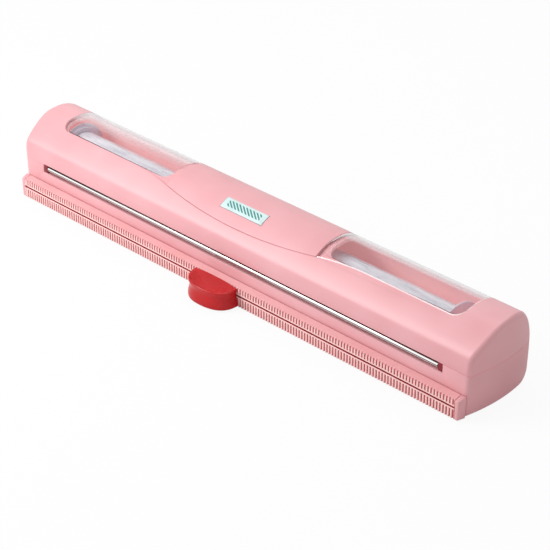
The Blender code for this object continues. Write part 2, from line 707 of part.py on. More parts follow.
def make_rail():
    half = HALF_RAIL - RAIL_CAP_THICKNESS - GAP
    rail = add_part("cutter_rail", outline_mesh("cutter_rail", rail_section(), -half, half, plane="YZ"))
    tongue_end = HALF_RAIL - TONGUE_SETBACK
    join(rail, add_tool("rail_tongue", box_mesh(
        "rail_tongue", (-tongue_end, RAIL_DEPTH - GAP, TONGUE_LIFT),
        (tongue_end, CASING_FRONT + TONGUE_REACH, TONGUE_LIFT + TONGUE_HEIGHT))))
    run = half + OVERRUN
    channel = add_tool("carrier_channel", box_mesh(
        "carrier_channel", (-run, CHANNEL_FRONT, SLIT_HEIGHT - CHANNEL_HEIGHT / 2),
        (run, CHANNEL_BACK, SLIT_HEIGHT + CHANNEL_HEIGHT / 2)))
    slit = add_tool("blade_slit", box_mesh(
        "blade_slit", (-run, -OVERRUN, SLIT_HEIGHT - SLIT_WIDTH / 2),
        (run, CHANNEL_FRONT + CHANNEL_DEPTH / 2, SLIT_HEIGHT + SLIT_WIDTH / 2)))
    eye_place = SLIT_EYE_RADIUS - half + GAP
    eye = add_tool("slit_eye", cylinder_mesh("slit_eye", (eye_place, -OVERRUN, SLIT_HEIGHT),
                                             (eye_place, CHANNEL_FRONT + CHANNEL_DEPTH / 2, SLIT_HEIGHT),
                                             SLIT_EYE_RADIUS, 16))
    cut(rail, channel, slit, eye)

    count = int((2 * half - RIB_PITCH) / RIB_PITCH)
    notch = [(-RIB_NOTCH_WIDTH / 2, -RIB_NOTCH_DEPTH / 4), (RIB_NOTCH_WIDTH / 2, -RIB_NOTCH_DEPTH / 4),
             (0, RIB_NOTCH_DEPTH)]
    bands = {
        "lower": (-OVERRUN, SLIT_HEIGHT - SLIT_WIDTH / 2 - RIB_BAND_MARGIN),
        "upper": (SLIT_HEIGHT + SLIT_WIDTH / 2 + RIB_BAND_MARGIN, RAIL_HEIGHT - RIB_BAND_MARGIN / 2),
    }
    for band, (low, high) in bands.items():
        first = outline_mesh(band, notch, low, high)
        form = bmesh.new()
        for index in range(count):
            shift = (index - (count - 1) / 2) * RIB_PITCH
            form.from_mesh(first)
            bmesh.ops.translate(form, verts=form.verts[-len(first.vertices):], vec=(shift, 0, 0))
        mesh = bpy.data.meshes.new(f"rib_notches_{band}")
        form.to_mesh(mesh)
        form.free()
        cut(rail, add_tool(f"rib_notches_{band}", mesh))
    finish(rail, PINK, 0.36)


def make_rail_caps():
    """Each cap closes one end of the rail, follows the casing's bowed end, and plugs the channel."""
    section = rail_section()
    plug_low = SLIT_HEIGHT - CHANNEL_HEIGHT / 2 + GAP
    plug_high = SLIT_HEIGHT + CHANNEL_HEIGHT / 2 - GAP
    for side, name in ((-1, "rail_cap_left"), (1, "rail_cap_right")):
        form = bmesh.new()
        inner = HALF_RAIL - RAIL_CAP_THICKNESS
        near = [form.verts.new((side * inner, *point)) for point in section]
        far = [form.verts.new((side * end_reach(*point), *point)) for point in section]
        form.faces.new(near)
        form.faces.new(far)
        for index in range(len(section)):
            nextone = (index + 1) % len(section)
            form.faces.new((near[index], near[nextone], far[nextone], far[index]))
        bmesh.ops.recalc_face_normals(form, faces=form.faces)
        cap = add_part(name, mesh_from(form, name))
        ends = sorted((side * (inner - CAP_PLUG_LENGTH), side * (inner + RAIL_CAP_THICKNESS / 2)))
        join(cap, add_tool(f"{name}_plug", box_mesh(
            f"{name}_plug", (ends[0], CHANNEL_FRONT + GAP, plug_low),
            (ends[1], CHANNEL_BACK - GAP, plug_high))))
        finish(cap, PINK, 0.36)


def make_rod():
    """The guide rod, with a thinner journal at each end, and the two bushes that carry it."""
    journal_end = SLOT_HALF_LENGTH - GAP
    shoulder = SLOT_HALF_LENGTH - GAP - BUSH_FACE_WIDTH - GAP
    profile = [(0, journal_end), (JOURNAL_RADIUS, journal_end), (JOURNAL_RADIUS, shoulder),
               (ROD_RADIUS, shoulder)]
    profile += [(radius, -place) for radius, place in profile[::-1]]
    finish(turned_part("guide_rod", profile, ROD_AXIS, 0), STEEL, 0.08, 1.0, smooth=True)

    for side, name in ((-1, "rod_bush_left"), (1, "rod_bush_right")):
        face_start = SLOT_HALF_LENGTH - GAP - BUSH_FACE_WIDTH
        face_end = SLOT_HALF_LENGTH - GAP
        front = CASING_FRONT + GAP
        tail_front = CASING_FRONT + WALL + GAP
        back = front + BUSH_DEPTH - GAP
        tail_end = face_end + BUSH_TAIL_WIDTH
        plan = [(face_start, front), (face_end, front), (face_end, tail_front),
                (tail_end, tail_front), (tail_end, back), (face_start, back)]
        if side < 0:
            plan = [(-x, y) for x, y in plan[::-1]]
        bush = add_part(name, outline_mesh(name, plan, SLOT_SILL + GAP, PARTING_HEIGHT - GAP))
        bore = sorted((side * (face_start - OVERRUN), side * (face_end + GAP)))
        cut(bush, add_tool(f"{name}_bore", cylinder_mesh(
            f"{name}_bore", (bore[0], ROD_Y, ROD_Z), (bore[1], ROD_Y, ROD_Z), JOURNAL_RADIUS + GAP / 2, 20)))
        finish(bush, DARK_RED, 0.4)


def make_roll():
    half = FILM_WIDTH / 2
    film = [(FILM_RADIUS, half), (FILM_RADIUS, -half), (CORE_RADIUS + GAP, -half), (CORE_RADIUS + GAP, half)]
    finish(turned_part("film_roll", film, ROLL_AXIS, 0), FILM_WHITE, 0.18, alpha=0.9, smooth=True)
    core = [(CORE_RADIUS, half), (CORE_RADIUS, -half), (CORE_BORE_RADIUS, -half), (CORE_BORE_RADIUS, half)]
    finish(turned_part("core_tube", core, ROLL_AXIS, 0), BOARD, 0.85, smooth=True)

    insert = CORE_BORE_RADIUS - GAP
    flange_end = HUB_FLANGE_START + HUB_FLANGE_THICKNESS
    floor = HUB_FLANGE_START + HUB_WEB
    recess = HUB_FLANGE_RADIUS - HUB_RIM_WIDTH
    collar_end = HUB_FLANGE_START + HUB_COLLAR
    tip = flange_end + CRADLE_OFFSET + CRADLE_THICKNESS + STUB_PROUD
    start = half - HUB_INSERT_LENGTH
    hub = [(0, tip), (HUB_STUB_RADIUS, tip), (HUB_STUB_RADIUS, floor),
           (recess, floor), (recess, flange_end),
           (HUB_FLANGE_RADIUS, flange_end), (HUB_FLANGE_RADIUS, collar_end),
           (HUB_COLLAR_RADIUS, collar_end), (HUB_COLLAR_RADIUS, HUB_FLANGE_START),
           (insert, HUB_FLANGE_START), (insert, start), (insert - HUB_WALL, start),
           (insert - HUB_WALL, HUB_FLANGE_START), (0, HUB_FLANGE_START)]
    finish(turned_part("roll_hub_right", hub, ROLL_AXIS, 0), HUB_GREY, 0.4, smooth=True)
    mirrored = [(radius, -place) for radius, place in hub[::-1]]
    finish(turned_part("roll_hub_left", mirrored, ROLL_AXIS, 0), HUB_GREY, 0.4, smooth=True)


def knob_mesh():
    """The knob: a rounded block, flat against the rail, with a dished thumb rest on its top."""
    form = bmesh.new()
    bmesh.ops.create_uvsphere(form, u_segments=36, v_segments=18, radius=1.0)
    back = -GAP
    middle = (back - KNOB_REACH) / 2
    dish_x, dish_y = DISH_SPREAD_SHARES
    for vert in form.verts:
        x, y, z = vert.co
        flat = math.hypot(x, y)
        around = math.atan2(y, x)
        squared_x = math.copysign(abs(math.cos(around)) ** PLAN_SQUARE_SHARE, math.cos(around))
        squared_y = math.copysign(abs(math.sin(around)) ** PLAN_SQUARE_SHARE, math.sin(around))
        spread = flat ** SIDE_SQUARE_SHARE
        lift = math.copysign(abs(z) ** SIDE_SQUARE_SHARE, z)
        place_x = squared_x * spread
        place_y = squared_y * spread
        hollow = 0
        if z > 0:
            hollow = max(1 - (place_x / dish_x) ** 2 - ((place_y - DISH_PLACE_SHARE) / dish_y) ** 2, 0)
        vert.co = (place_x * KNOB_LENGTH / 2, middle + place_y * (KNOB_REACH + back) / 2,
                   SLIT_HEIGHT + lift * KNOB_HEIGHT / 2 - hollow * KNOB_DISH_DEPTH)
    return mesh_from(form, "slider_knob")


def make_slider():
    """Knob outside, carrier inside the channel, and the blade held between them in the slit."""
    knob = add_part("slider_knob", knob_mesh(), SLIDER_AXIS)
    knob.location = (0, 0, -SLIT_HEIGHT)
    slot_half = BLADE_LENGTH / 2 + GAP
    room_low = SLIT_HEIGHT - BLADE_THICKNESS / 2 - GAP
    room_high = SLIT_HEIGHT + BLADE_THICKNESS / 2 + GAP
    slot = add_tool("knob_slot", box_mesh(
        "knob_slot", (SLIDER_REST - slot_half, -BLADE_FRONT_REACH - GAP, room_low),
        (SLIDER_REST + slot_half, OVERRUN, room_high)))
    cut(knob, slot)
    finish(knob, RED, 0.3, smooth=True)

    half = CARRIER_LENGTH / 2
    low = SLIT_HEIGHT - CHANNEL_HEIGHT / 2 + GAP
    high = SLIT_HEIGHT + CHANNEL_HEIGHT / 2 - GAP
    carrier = add_part("blade_carrier", box_mesh(
        "blade_carrier", (SLIDER_REST - half, CHANNEL_FRONT + GAP, low),
        (SLIDER_REST + half, CHANNEL_BACK - GAP, high)), SLIDER_AXIS)
    carrier.location = (-SLIDER_REST, 0, -SLIT_HEIGHT)
    neck_half = CARRIER_NECK_LENGTH / 2
    join(carrier, add_tool("carrier_neck", box_mesh(
        "carrier_neck", (SLIDER_REST - neck_half, -CARRIER_NECK_REACH, SLIT_HEIGHT - BLADE_THICKNESS / 2),
        (SLIDER_REST + neck_half, CHANNEL_FRONT + CHANNEL_DEPTH / 2, SLIT_HEIGHT + BLADE_THICKNESS / 2))))
    room_back = CHANNEL_FRONT + BLADE_BACK_REACH + GAP
    cut(carrier, add_tool("carrier_blade_slots", merged_mesh("carrier_blade_slots", [
        box_mesh("blade_slot", (SLIDER_REST - half - OVERRUN, 0, room_low),
                 (SLIDER_REST - neck_half, room_back, room_high)),
        box_mesh("blade_slot", (SLIDER_REST + neck_half, 0, room_low),
                 (SLIDER_REST + half + OVERRUN, room_back, room_high))])))
    finish(carrier, RED, 0.4)

    tip = BLADE_LENGTH / 2
    front = -BLADE_FRONT_REACH
    back = CHANNEL_FRONT + BLADE_BACK_REACH
    notch_half = neck_half + GAP
    notch_front = -CARRIER_NECK_REACH - GAP
    plan = [(-tip, front), (tip, front), (tip - BLADE_EDGE_SLANT, back), (notch_half, back)]
    plan += [(notch_half, notch_front), (-notch_half, notch_front)]
    plan += [(-notch_half, back), (BLADE_EDGE_SLANT - tip, back)]
    blade = add_part("cutter_blade", outline_mesh(
        "cutter_blade", [(x + SLIDER_REST, y) for x, y in plan],
        SLIT_HEIGHT - BLADE_THICKNESS / 2, SLIT_HEIGHT + BLADE_THICKNESS / 2), SLIDER_AXIS)
    blade.location = (-SLIDER_REST, 0, -SLIT_HEIGHT)
    finish(blade, STEEL, 0.25, 1.0)


def make_hinge_pins():
    for side, name in ((-1, "hinge_pin_left"), (1, "hinge_pin_right")):
        middle = side * HINGE_PLACE
        pin = add_part(name, cylinder_mesh(name, (middle - HINGE_HALF_LENGTH, HINGE_Y, HINGE_Z),
                                           (middle + HINGE_HALF_LENGTH, HINGE_Y, HINGE_Z), PIN_RADIUS, 16))
        finish(pin, STEEL, 0.3, 1.0, smooth=True)


def make_feet():
    names = ("foot_left_front", "foot_left_back", "foot_right_front", "foot_right_back")
    for name, (x, y) in zip(names, FOOT_PLACES):
        foot = add_part(name, cylinder_mesh(name, (x, y, -FOOT_PROUD), (x, y, FOOT_SEAT_DEPTH - GAP),
                                            FOOT_RADIUS, 28))
        finish(foot, PAD_GREY, 0.8, smooth=True)


make_base_casing()
make_lid()
make_lid_pieces()
make_rail()
make_rail_caps()
make_rod()
make_roll()
make_slider()
make_hinge_pins()
make_feet()
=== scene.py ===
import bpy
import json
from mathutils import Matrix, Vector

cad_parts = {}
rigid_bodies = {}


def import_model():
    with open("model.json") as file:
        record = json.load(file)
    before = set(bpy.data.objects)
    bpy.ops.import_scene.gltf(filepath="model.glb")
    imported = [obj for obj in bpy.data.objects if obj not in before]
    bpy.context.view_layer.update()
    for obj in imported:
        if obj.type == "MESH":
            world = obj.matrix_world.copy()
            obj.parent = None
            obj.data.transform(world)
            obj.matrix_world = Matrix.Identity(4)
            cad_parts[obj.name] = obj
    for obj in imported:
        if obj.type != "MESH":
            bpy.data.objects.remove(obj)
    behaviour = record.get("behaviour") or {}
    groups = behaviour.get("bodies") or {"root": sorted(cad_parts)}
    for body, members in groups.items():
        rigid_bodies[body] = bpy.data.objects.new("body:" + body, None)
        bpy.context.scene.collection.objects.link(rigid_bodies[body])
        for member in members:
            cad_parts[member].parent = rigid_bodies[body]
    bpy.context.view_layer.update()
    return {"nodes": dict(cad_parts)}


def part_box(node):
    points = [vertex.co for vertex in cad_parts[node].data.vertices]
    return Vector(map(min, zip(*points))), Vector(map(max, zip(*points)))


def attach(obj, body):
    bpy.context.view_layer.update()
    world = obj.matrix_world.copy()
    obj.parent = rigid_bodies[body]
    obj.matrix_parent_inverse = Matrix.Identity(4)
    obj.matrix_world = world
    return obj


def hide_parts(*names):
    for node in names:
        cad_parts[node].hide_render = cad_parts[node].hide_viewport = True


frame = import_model()

import json
import math

import bmesh
import bpy
from mathutils import Matrix, Vector, noise

# Every shape is drawn in millimetres on the bench: X along the length, Y back from the rail's face,
# Z up from the casing's underside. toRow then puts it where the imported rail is, in metres.
railLow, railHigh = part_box("cutter_rail")
toRow = Matrix.Translation((0, railLow.y, railLow.z)) @ Matrix.Scale(0.001, 4)
gap = 0.3            # mm between pieces that touch
seam = 0.14          # mm, the parting line and the cap joints as they look closed
past = 2.0           # mm that a cutting shape runs past what it cuts
hair = 0.01          # mm, as good as nothing

bench = bpy.data.collections.new("bench")
bpy.context.scene.collection.children.link(bench)


def linear(code):
    channels = []
    for place in (1, 3, 5):
        value = int(code[place:place + 2], 16) / 255
        channels.append(value / 12.92 if value <= 0.04045 else ((value + 0.055) / 1.055) ** 2.4)
    return (*channels, 1.0)


# Materials

noiseSpan = (0.3, 0.7)       # nearly all of a noise texture's values lie in here


def addNode(tree, kind, settings=None, inputs=None):
    made = tree.nodes.new("ShaderNode" + kind)
    for name, value in (settings or {}).items():
        setattr(made, name, value)
    for name, value in (inputs or {}).items():
        if isinstance(value, bpy.types.NodeSocket):
            tree.links.new(value, made.inputs[name])
        else:
            made.inputs[name].default_value = value
    return made


def calc(tree, operation, *values):
    return addNode(tree, "Math", {"operation": operation}, dict(enumerate(values))).outputs["Value"]


def blended(tree, fac, first, second, way="MIX"):
    inputs = {"Fac": fac, "Color1": first, "Color2": second}
    return addNode(tree, "MixRGB", {"blend_type": way}, inputs).outputs["Color"]


def mapped(tree, value, low, high, **to):
    inputs = {"Value": value, "From Min": low, "From Max": high}
    inputs.update({name.replace("_", " "): level for name, level in to.items()})
    return addNode(tree, "MapRange", None, inputs).outputs["Result"]


def newMaterial(name, **inputs):
    made = bpy.data.materials.new(name)
    made.use_nodes = True
    tree = made.node_tree
    shader = tree.nodes["Principled BSDF"]
    for socket, value in inputs.items():
        shader.inputs[socket.replace("_", " ")].default_value = value
    place = addNode(tree, "TexCoord")
    return made, tree, shader, place.outputs["Object"]


def feed(shader, **outputs):
    for name, output in outputs.items():
        shader.id_data.links.new(output, shader.inputs[name.replace("_", " ")])


def mottled(tree, place, size, detail=3.0, roughness=0.55):
    # noise whose cells are size mm wide
    return addNode(tree, "TexNoise", None, {"Vector": place, "Scale": 1000 / size, "Detail": detail,
                                            "Roughness": roughness}).outputs["Fac"]


def colourOf(shade):
    # a hex code, a grey level, or a colour that is linear already
    if isinstance(shade, str):
        return linear(shade)
    return shade if isinstance(shade, tuple) else (shade, shade, shade, 1)


def ramp(tree, fac, *stops):
    made = addNode(tree, "ValToRGB", None, {"Fac": fac})
    line = made.color_ramp
    for index in (0, -1):
        line.elements[index].position = stops[index][0]
        line.elements[index].color = colourOf(stops[index][1])
    for position, shade in stops[1:-1]:
        line.elements.new(position).color = colourOf(shade)
    return made.outputs["Color"]


def tinted(tree, fac, shades):
    return ramp(tree, fac, *zip(noiseSpan, shades))


def spread(tree, fac, low, high):
    return mapped(tree, fac, *noiseSpan, To_Min=low, To_Max=high)


def bumped(tree, shader, height, depth, strength):
    # depth in metres
    bump = addNode(tree, "Bump", None, {"Height": height, "Distance": depth, "Strength": strength})
    feed(shader, Normal=bump.outputs["Normal"])


def driftingFinish(name, size, shades, roughness, grain, detail=3.0, **inputs):
    # colour and gloss drift together over size mm; grain is a size in mm, a depth in metres and a strength
    made, tree, shader, place = newMaterial(name, **inputs)
    cloud = mottled(tree, place, size, detail)
    feed(shader, Base_Color=tinted(tree, cloud, shades), Roughness=spread(tree, cloud, *roughness))
    bumped(tree, shader, mottled(tree, place, grain[0], detail), *grain[1:])
    return made


def paintedGlowFinish(name, size, shades, **inputs):
    # painted light: the plastic glows in its own colour, though it is no lamp
    made, tree, shader, place = newMaterial(name, **inputs)
    paintedGlowShade = tinted(tree, mottled(tree, place, size), shades)
    feed(shader, Base_Color=paintedGlowShade, Emission_Color=paintedGlowShade)
    return made


plastic = {
    "shades": ((0.3, "#E9A7AC"), (0.5, "#EDADB2"), (0.72, "#F0B5BA")),
    "cloudSize": 46,         # mm, slow drift of the pigment
    "grainSize": 1.1,        # mm, spark-eroded mould texture, drawn coarser than the real 0.2 mm
    "grain": (0.00002, 0.35), "roughness": (0.30, 0.40),
}


def mouldedPolypropylene():
    # injection moulded polypropylene: soft satin sheen over a very fine mould texture
    made, tree, shader, place = newMaterial("moulded_pink_polypropylene", IOR=1.49)
    cloud = mottled(tree, place, plastic["cloudSize"], 2.0)
    feed(shader, Base_Color=ramp(tree, cloud, *plastic["shades"]),
         Roughness=spread(tree, cloud, *plastic["roughness"]))
    bumped(tree, shader, mottled(tree, place, plastic["grainSize"], 2.0), *plastic["grain"])
    return made


comb = {
    # slit is the red of the painted shade on the slit's lips
    "face": ("#F2ACAE", "#F5B7B9"), "slit": "#C23A34", "cloudSize": 30,
    # mm behind the rail's face: a painted highlight on the tips, then painted shade that deepens into the grooves
    # and the cutter's channel
    "paintedShadeDepths": ((0.04, "#FFD3D2"), (0.26, "#E39390"), (0.80, "#CC6F6B"), (1.5, "#B8342F"), (4.0, "#B8342F")),
    "topBand": (11.3, 11.9),     # mm, over this the rail keeps its face colour
    "lipHalf": 0.95, "lipDepth": 0.12,   # mm, where the slit's own shade starts
}


def ribbedPolypropylenePaintedShade():
    # the same plastic on the comb, with a painted highlight on the rib tips and painted shade deeper in its
    # grooves and in the cutter's channel
    made, tree, shader, place = newMaterial("ribbed_pink_polypropylene_painted_shade", IOR=1.49, Roughness=0.4)
    axes = addNode(tree, "SeparateXYZ", None, {"Vector": place}).outputs
    reach = comb["paintedShadeDepths"][-1][0]
    into = mapped(tree, axes["Y"], railLow.y, railLow.y + reach * 0.001)
    sunk = ramp(tree, into, *[(depth / reach, code) for depth, code in comb["paintedShadeDepths"]])
    # painted shade: the slit's lips are painted as a red line
    off = calc(tree, "ABSOLUTE", calc(tree, "SUBTRACT", axes["Z"], railLow.z + rail["slit"] * 0.001))
    lips = calc(tree, "MULTIPLY", calc(tree, "LESS_THAN", off, comb["lipHalf"] * 0.001),
                calc(tree, "GREATER_THAN", axes["Y"], railLow.y + comb["lipDepth"] * 0.001))
    sunk = blended(tree, lips, sunk, linear(comb["slit"]))
    over = mapped(tree, axes["Z"], *(railLow.z + level * 0.001 for level in comb["topBand"]))
    face = tinted(tree, mottled(tree, place, comb["cloudSize"]), comb["face"])
    feed(shader, Base_Color=blended(tree, over, sunk, face))
    return made


def innerPolypropylenePaintedGlow():
    # the casing seen from inside: unpolished, painted paler than the outside and glowing, as painted light for
    # what would come through its thin wall
    return paintedGlowFinish("inner_pink_polypropylene_painted_glow", 30, ("#FFC4C5", "#FFCECF"),
                         IOR=1.49, Roughness=0.5, Emission_Strength=0.15)


styrene = {
    # how slanted the sheet is seen: how much of what lies behind its reflection hides
    "veil": ((0.0, 0.02), (0.49, 0.05), (0.55, 0.42), (0.66, 0.66), (0.80, 0.80), (1.0, 0.90)),
    "insideVeil": 0.02, "waveSize": 24, "wave": (0.00002, 0.2),
}


def clearStyrene():
    # clear polystyrene, polished mould: seen through when faced, milky with reflection at a slant
    made, tree, shader, place = newMaterial("clear_polystyrene", IOR=1.49, Roughness=0.05,
                                            Base_Color=linear("#F4F6F8"))
    slant = addNode(tree, "LayerWeight", None, {"Blend": 0.5}).outputs["Facing"]
    inside = addNode(tree, "NewGeometry").outputs["Backfacing"]
    outside = ramp(tree, slant, *styrene["veil"])
    feed(shader, Alpha=blended(tree, inside, outside, colourOf(styrene["insideVeil"])))
    bumped(tree, shader, mottled(tree, place, styrene["waveSize"]), *styrene["wave"])
    return made


def paneEdgePaintedHighlight():
    # painted highlight: the rounded border of the panes is painted pinkish white and glows
    return paintedGlowFinish("clear_polystyrene_edge_painted_highlight", 18, ("#F8E1E3", "#FDF1F2"),
                         IOR=1.49, Roughness=0.1, Alpha=0.9, Emission_Strength=0.2)


wrap = {
    # the film's faint tint, greyed further by painted shade where the wrinkles sink
    "shades": ((0.32, "#BDBCC8"), (0.5, "#D3D1D9"), (0.66, "#E6E4EA")),
    "wrinkleSize": 26,       # mm along the roll, and a fifth of it round the roll
    "wrinkle": (0.0005, 0.5), "roughness": (0.22, 0.4),
}


def clingFilmPaintedShade():
    # polyethylene film wound tight: white in the mass with a faint lavender tint, soft gloss, slack wrinkles
    # round the roll, and painted shade that greys the film in the wrinkles' hollows
    made, tree, shader, place = newMaterial("wound_polyethylene_film_painted_shade", IOR=1.5, Coat_Weight=0.4,
                                            Coat_Roughness=0.12)
    stretched = addNode(tree, "Mapping", None, {"Vector": place, "Scale": (1.0, 5.0, 5.0)})
    wrinkle = mottled(tree, stretched.outputs["Vector"], wrap["wrinkleSize"], 5.0, 0.62)
    feed(shader, Base_Color=ramp(tree, wrinkle, *wrap["shades"]),
         Roughness=spread(tree, wrinkle, *wrap["roughness"]))
    bumped(tree, shader, wrinkle, *wrap["wrinkle"])
    return made


def hubPlastic():
    # lavender-grey ABS, satin mould
    return driftingFinish("moulded_grey_abs", 12, ("#D8CEDE", "#E8E0EC"), (0.32, 0.45), (0.9, 0.00002, 0.3),
                          IOR=1.53)


chrome = {
    # from facing down to facing up: the painted reflection, dark and white bands in the base colour
    "paintedReflectionBands": ((0.32, "#4A3E3C"), (0.37, "#E2D9D7"), (0.46, "#D8CECC"), (0.50, "#5A4E4C"), (0.57, "#5A4E4C"),
              (0.62, "#FFFFFF"), (0.785, "#FFFFFF"), (0.82, "#2E1C19")),
    "ringWidth": 0.8,        # mm, drawn coarser than the real grinding marks
    "roughness": (0.06, 0.13),
}


def chromedSteelPaintedReflection():
    # bright chrome plate on drawn rod, with the faint rings that the centreless grinding leaves
    made, tree, shader, place = newMaterial("chrome_plated_steel_rod_painted_reflection", Metallic=1.0)
    # painted reflection: the slot's lips and the dark casing behind are painted into the base colour as bands
    # along the rod, set by which way the surface faces
    normal = addNode(tree, "SeparateXYZ", None, {"Vector": addNode(tree, "NewGeometry").outputs["Normal"]})
    ring = addNode(tree, "Mapping", None, {"Vector": place, "Scale": (1.0, 0.02, 0.02)})
    fine = mottled(tree, ring.outputs["Vector"], chrome["ringWidth"], 4.0)
    feed(shader, Base_Color=ramp(tree, mapped(tree, normal.outputs["Z"], -1.0, 1.0), *chrome["paintedReflectionBands"]),
         Roughness=spread(tree, fine, *chrome["roughness"]))
    return made


def redPlastic(name, shades, size, roughness):
    # glossy knob and duller bushes, pigmented through
    return driftingFinish(name, size, shades, roughness, (1.4, 0.00003, 0.25), IOR=1.53, Specular_IOR_Level=0.3)


def groundSteel(name, code, roughness, along):
    # ground or drawn steel: fine scratches along one direction
    made, tree, shader, place = newMaterial(name, Metallic=1.0)
    line = addNode(tree, "Mapping", None, {"Vector": place, "Scale": along})
    scratch = mottled(tree, line.outputs["Vector"], 1.2, 6.0, 0.7)
    base = linear(code)
    dark = (*(value * 0.8 for value in base[:3]), 1.0)
    feed(shader, Base_Color=tinted(tree, scratch, (dark, base)), Roughness=spread(tree, scratch, *roughness))
    return made


def padRubber():
    # moulded rubber pad: matt, slightly dusty
    return driftingFinish("moulded_grey_rubber", 0.8, ("#4C4A4B", "#6A6768"), (0.7, 0.9), (0.8, 0.00008, 0.4),
                          detail=5.0, IOR=1.52)


tubeBoard = {
    "plyWidth": 34.9,        # mm along X from one seam to the next
    "plies": ((0.0, "#8F7F68"), (0.08, "#C3B297"), (1.0, "#CBBB9F")),
    "fibreSize": 0.9, "fibre": (0.0001, 0.5), "fibreShare": 0.35, "fibres": ("#B0A08A", "#FFFFFF"),
}


def woundBoard():
    # paper tube wound on a slant: grey-brown plies with a seam every turn
    made, tree, shader, place = newMaterial("spiral_wound_paper_board", IOR=1.45, Roughness=0.85)
    slanted = addNode(tree, "Mapping", None, {"Vector": place, "Rotation": (0.0, 0.0, 0.6)})
    # a wave's straight bands come every 2 pi / (20 x scale) of x
    ply = addNode(tree, "TexWave", {"bands_direction": "X"},
                  {"Vector": slanted.outputs["Vector"], "Distortion": 0.4, "Detail": 1.0,
                   "Scale": 2 * math.pi / (20 * 0.001 * tubeBoard["plyWidth"])})
    fibre = mottled(tree, place, tubeBoard["fibreSize"], 6.0)
    plies = ramp(tree, ply.outputs["Fac"], *tubeBoard["plies"])
    fibres = tinted(tree, fibre, tubeBoard["fibres"])
    feed(shader, Base_Color=blended(tree, tubeBoard["fibreShare"], plies, fibres, "MULTIPLY"))
    bumped(tree, shader, fibre, *tubeBoard["fibre"])
    return made


# Shapes on the bench

def takeMesh(form):
    mesh = bpy.data.meshes.new("shape")
    form.to_mesh(mesh)
    form.free()
    return mesh


def onBench(mesh):
    made = bpy.data.objects.new(mesh.name, mesh)
    bench.objects.link(made)
    return made


def takeOff(work):
    # the mesh as its modifiers leave it, and then an empty bench
    bpy.context.view_layer.update()
    graph = bpy.context.evaluated_depsgraph_get()
    mesh = bpy.data.meshes.new_from_object(work.evaluated_get(graph), depsgraph=graph)
    for used in list(bench.objects):
        bpy.data.objects.remove(used)
    return mesh


def carve(mesh, *steps):
    # each step is an operation and the shape that it works with
    work = onBench(mesh)
    for operation, tool in steps:
        step = work.modifiers.new(operation, "BOOLEAN")
        step.operation = operation
        step.solver = "EXACT"
        step.object = onBench(tool)
    return takeOff(work)


def soften(mesh, width, segments=2, angle=35):
    # rounds the edges that are sharper than the angle, after the Boolean's doubled corners are welded
    work = onBench(mesh)
    work.modifiers.new("weld", "WELD").merge_threshold = 0.001
    bevel = work.modifiers.new("bevel", "BEVEL")
    bevel.width, bevel.segments = width, segments
    bevel.limit_method, bevel.angle_limit = "ANGLE", math.radians(angle)
    bevel.use_clamp_overlap = False
    bevel.miter_outer = "MITER_ARC"
    return takeOff(work)


def putInPlace(name, mesh, material, body, replaces, smooth=35, arched=False):
    places = [vert.co.copy() for vert in mesh.vertices]
    mesh.transform(toRow)
    mesh.name = name
    mesh.materials.clear()
    mesh.materials.append(material)
    mesh.shade_smooth()
    mesh.set_sharp_from_angle(angle=math.radians(smooth))
    if arched:
        easeSkin(mesh, places)
    piece = bpy.data.objects.new(name, mesh)
    bpy.context.scene.collection.objects.link(piece)
    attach(piece, body)
    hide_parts(*replaces)
    return piece


def block(low, high):
    low, high = Vector(low), Vector(high)
    form = bmesh.new()
    stretch = Matrix.Diagonal((*(high - low), 1))
    bmesh.ops.create_cube(form, size=1.0, matrix=Matrix.Translation((low + high) / 2) @ stretch)
    return takeMesh(form)


def bar(start, end, radius, steps=48):
    start, end = Vector(start), Vector(end)
    run = end - start
    turn = Vector((0, 0, 1)).rotation_difference(run).to_matrix().to_4x4()
    form = bmesh.new()
    bmesh.ops.create_cone(form, cap_ends=True, segments=steps, radius1=radius, radius2=radius, depth=run.length,
                          matrix=Matrix.Translation((start + end) / 2) @ turn)
    return takeMesh(form)


def gathered(meshes):
    form = bmesh.new()
    for mesh in meshes:
        form.from_mesh(mesh)
    return takeMesh(form)


def arc(centre, radius, start, end, steps):
    places = []
    for step in range(steps + 1):
        angle = math.radians(start + (end - start) * step / steps)
        places.append((centre[0] + radius * math.cos(angle), centre[1] + radius * math.sin(angle)))
    return places


def closedMesh(form):
    bmesh.ops.recalc_face_normals(form, faces=form.faces)
    return takeMesh(form)


def bridge(form, rings):
    for ring, following in zip(rings, rings[1:]):
        for index in range(len(ring)):
            after = (index + 1) % len(ring)
            form.faces.new((ring[index], ring[after], following[after], following[index]))


def lofted(rings, loop=False):
    # rings of places joined in their order, with flat ends or else the last one joined to the first
    form = bmesh.new()
    rings = [[form.verts.new(place) for place in ring] for ring in rings]
    bridge(form, rings + rings[:1] if loop else rings)
    if not loop:
        form.faces.new(rings[0])
        form.faces.new(rings[-1])
    return closedMesh(form)


def raised(outline, low, high, plane="XY"):
    # a flat outline made solid from low to high, along the axis that its plane leaves free
    return lofted([[(a, b, level) if plane == "XY" else (level, a, b) for a, b in outline]
                   for level in (low, high)])


def circle(along, radius, steps):
    angles = [2 * math.pi * k / steps for k in range(steps)]
    return [(along, radius * math.cos(angle), radius * math.sin(angle)) for angle in angles]


def turned(profile, steps=96):
    # profile as (radius, place along X), spun about the X axis
    form = bmesh.new()
    rings = []
    for radius, along in profile:
        places = circle(along, radius, steps) if radius > 1e-6 else [(along, 0, 0)]
        rings.append([form.verts.new(place) for place in places])
    if len(rings[0]) > 1:
        rings.append(rings[0])
    for near, far in zip(rings, rings[1:]):
        for k in range(steps):
            after = (k + 1) % steps
            if len(near) == 1:
                form.faces.new((near[0], far[k], far[after]))
            elif len(far) == 1:
                form.faces.new((near[k], far[0], near[after]))
            else:
                form.faces.new((near[k], far[k], far[after], near[after]))
    return closedMesh(form)


def moved(mesh, *shift):
    mesh.transform(Matrix.Translation(shift))
    return mesh


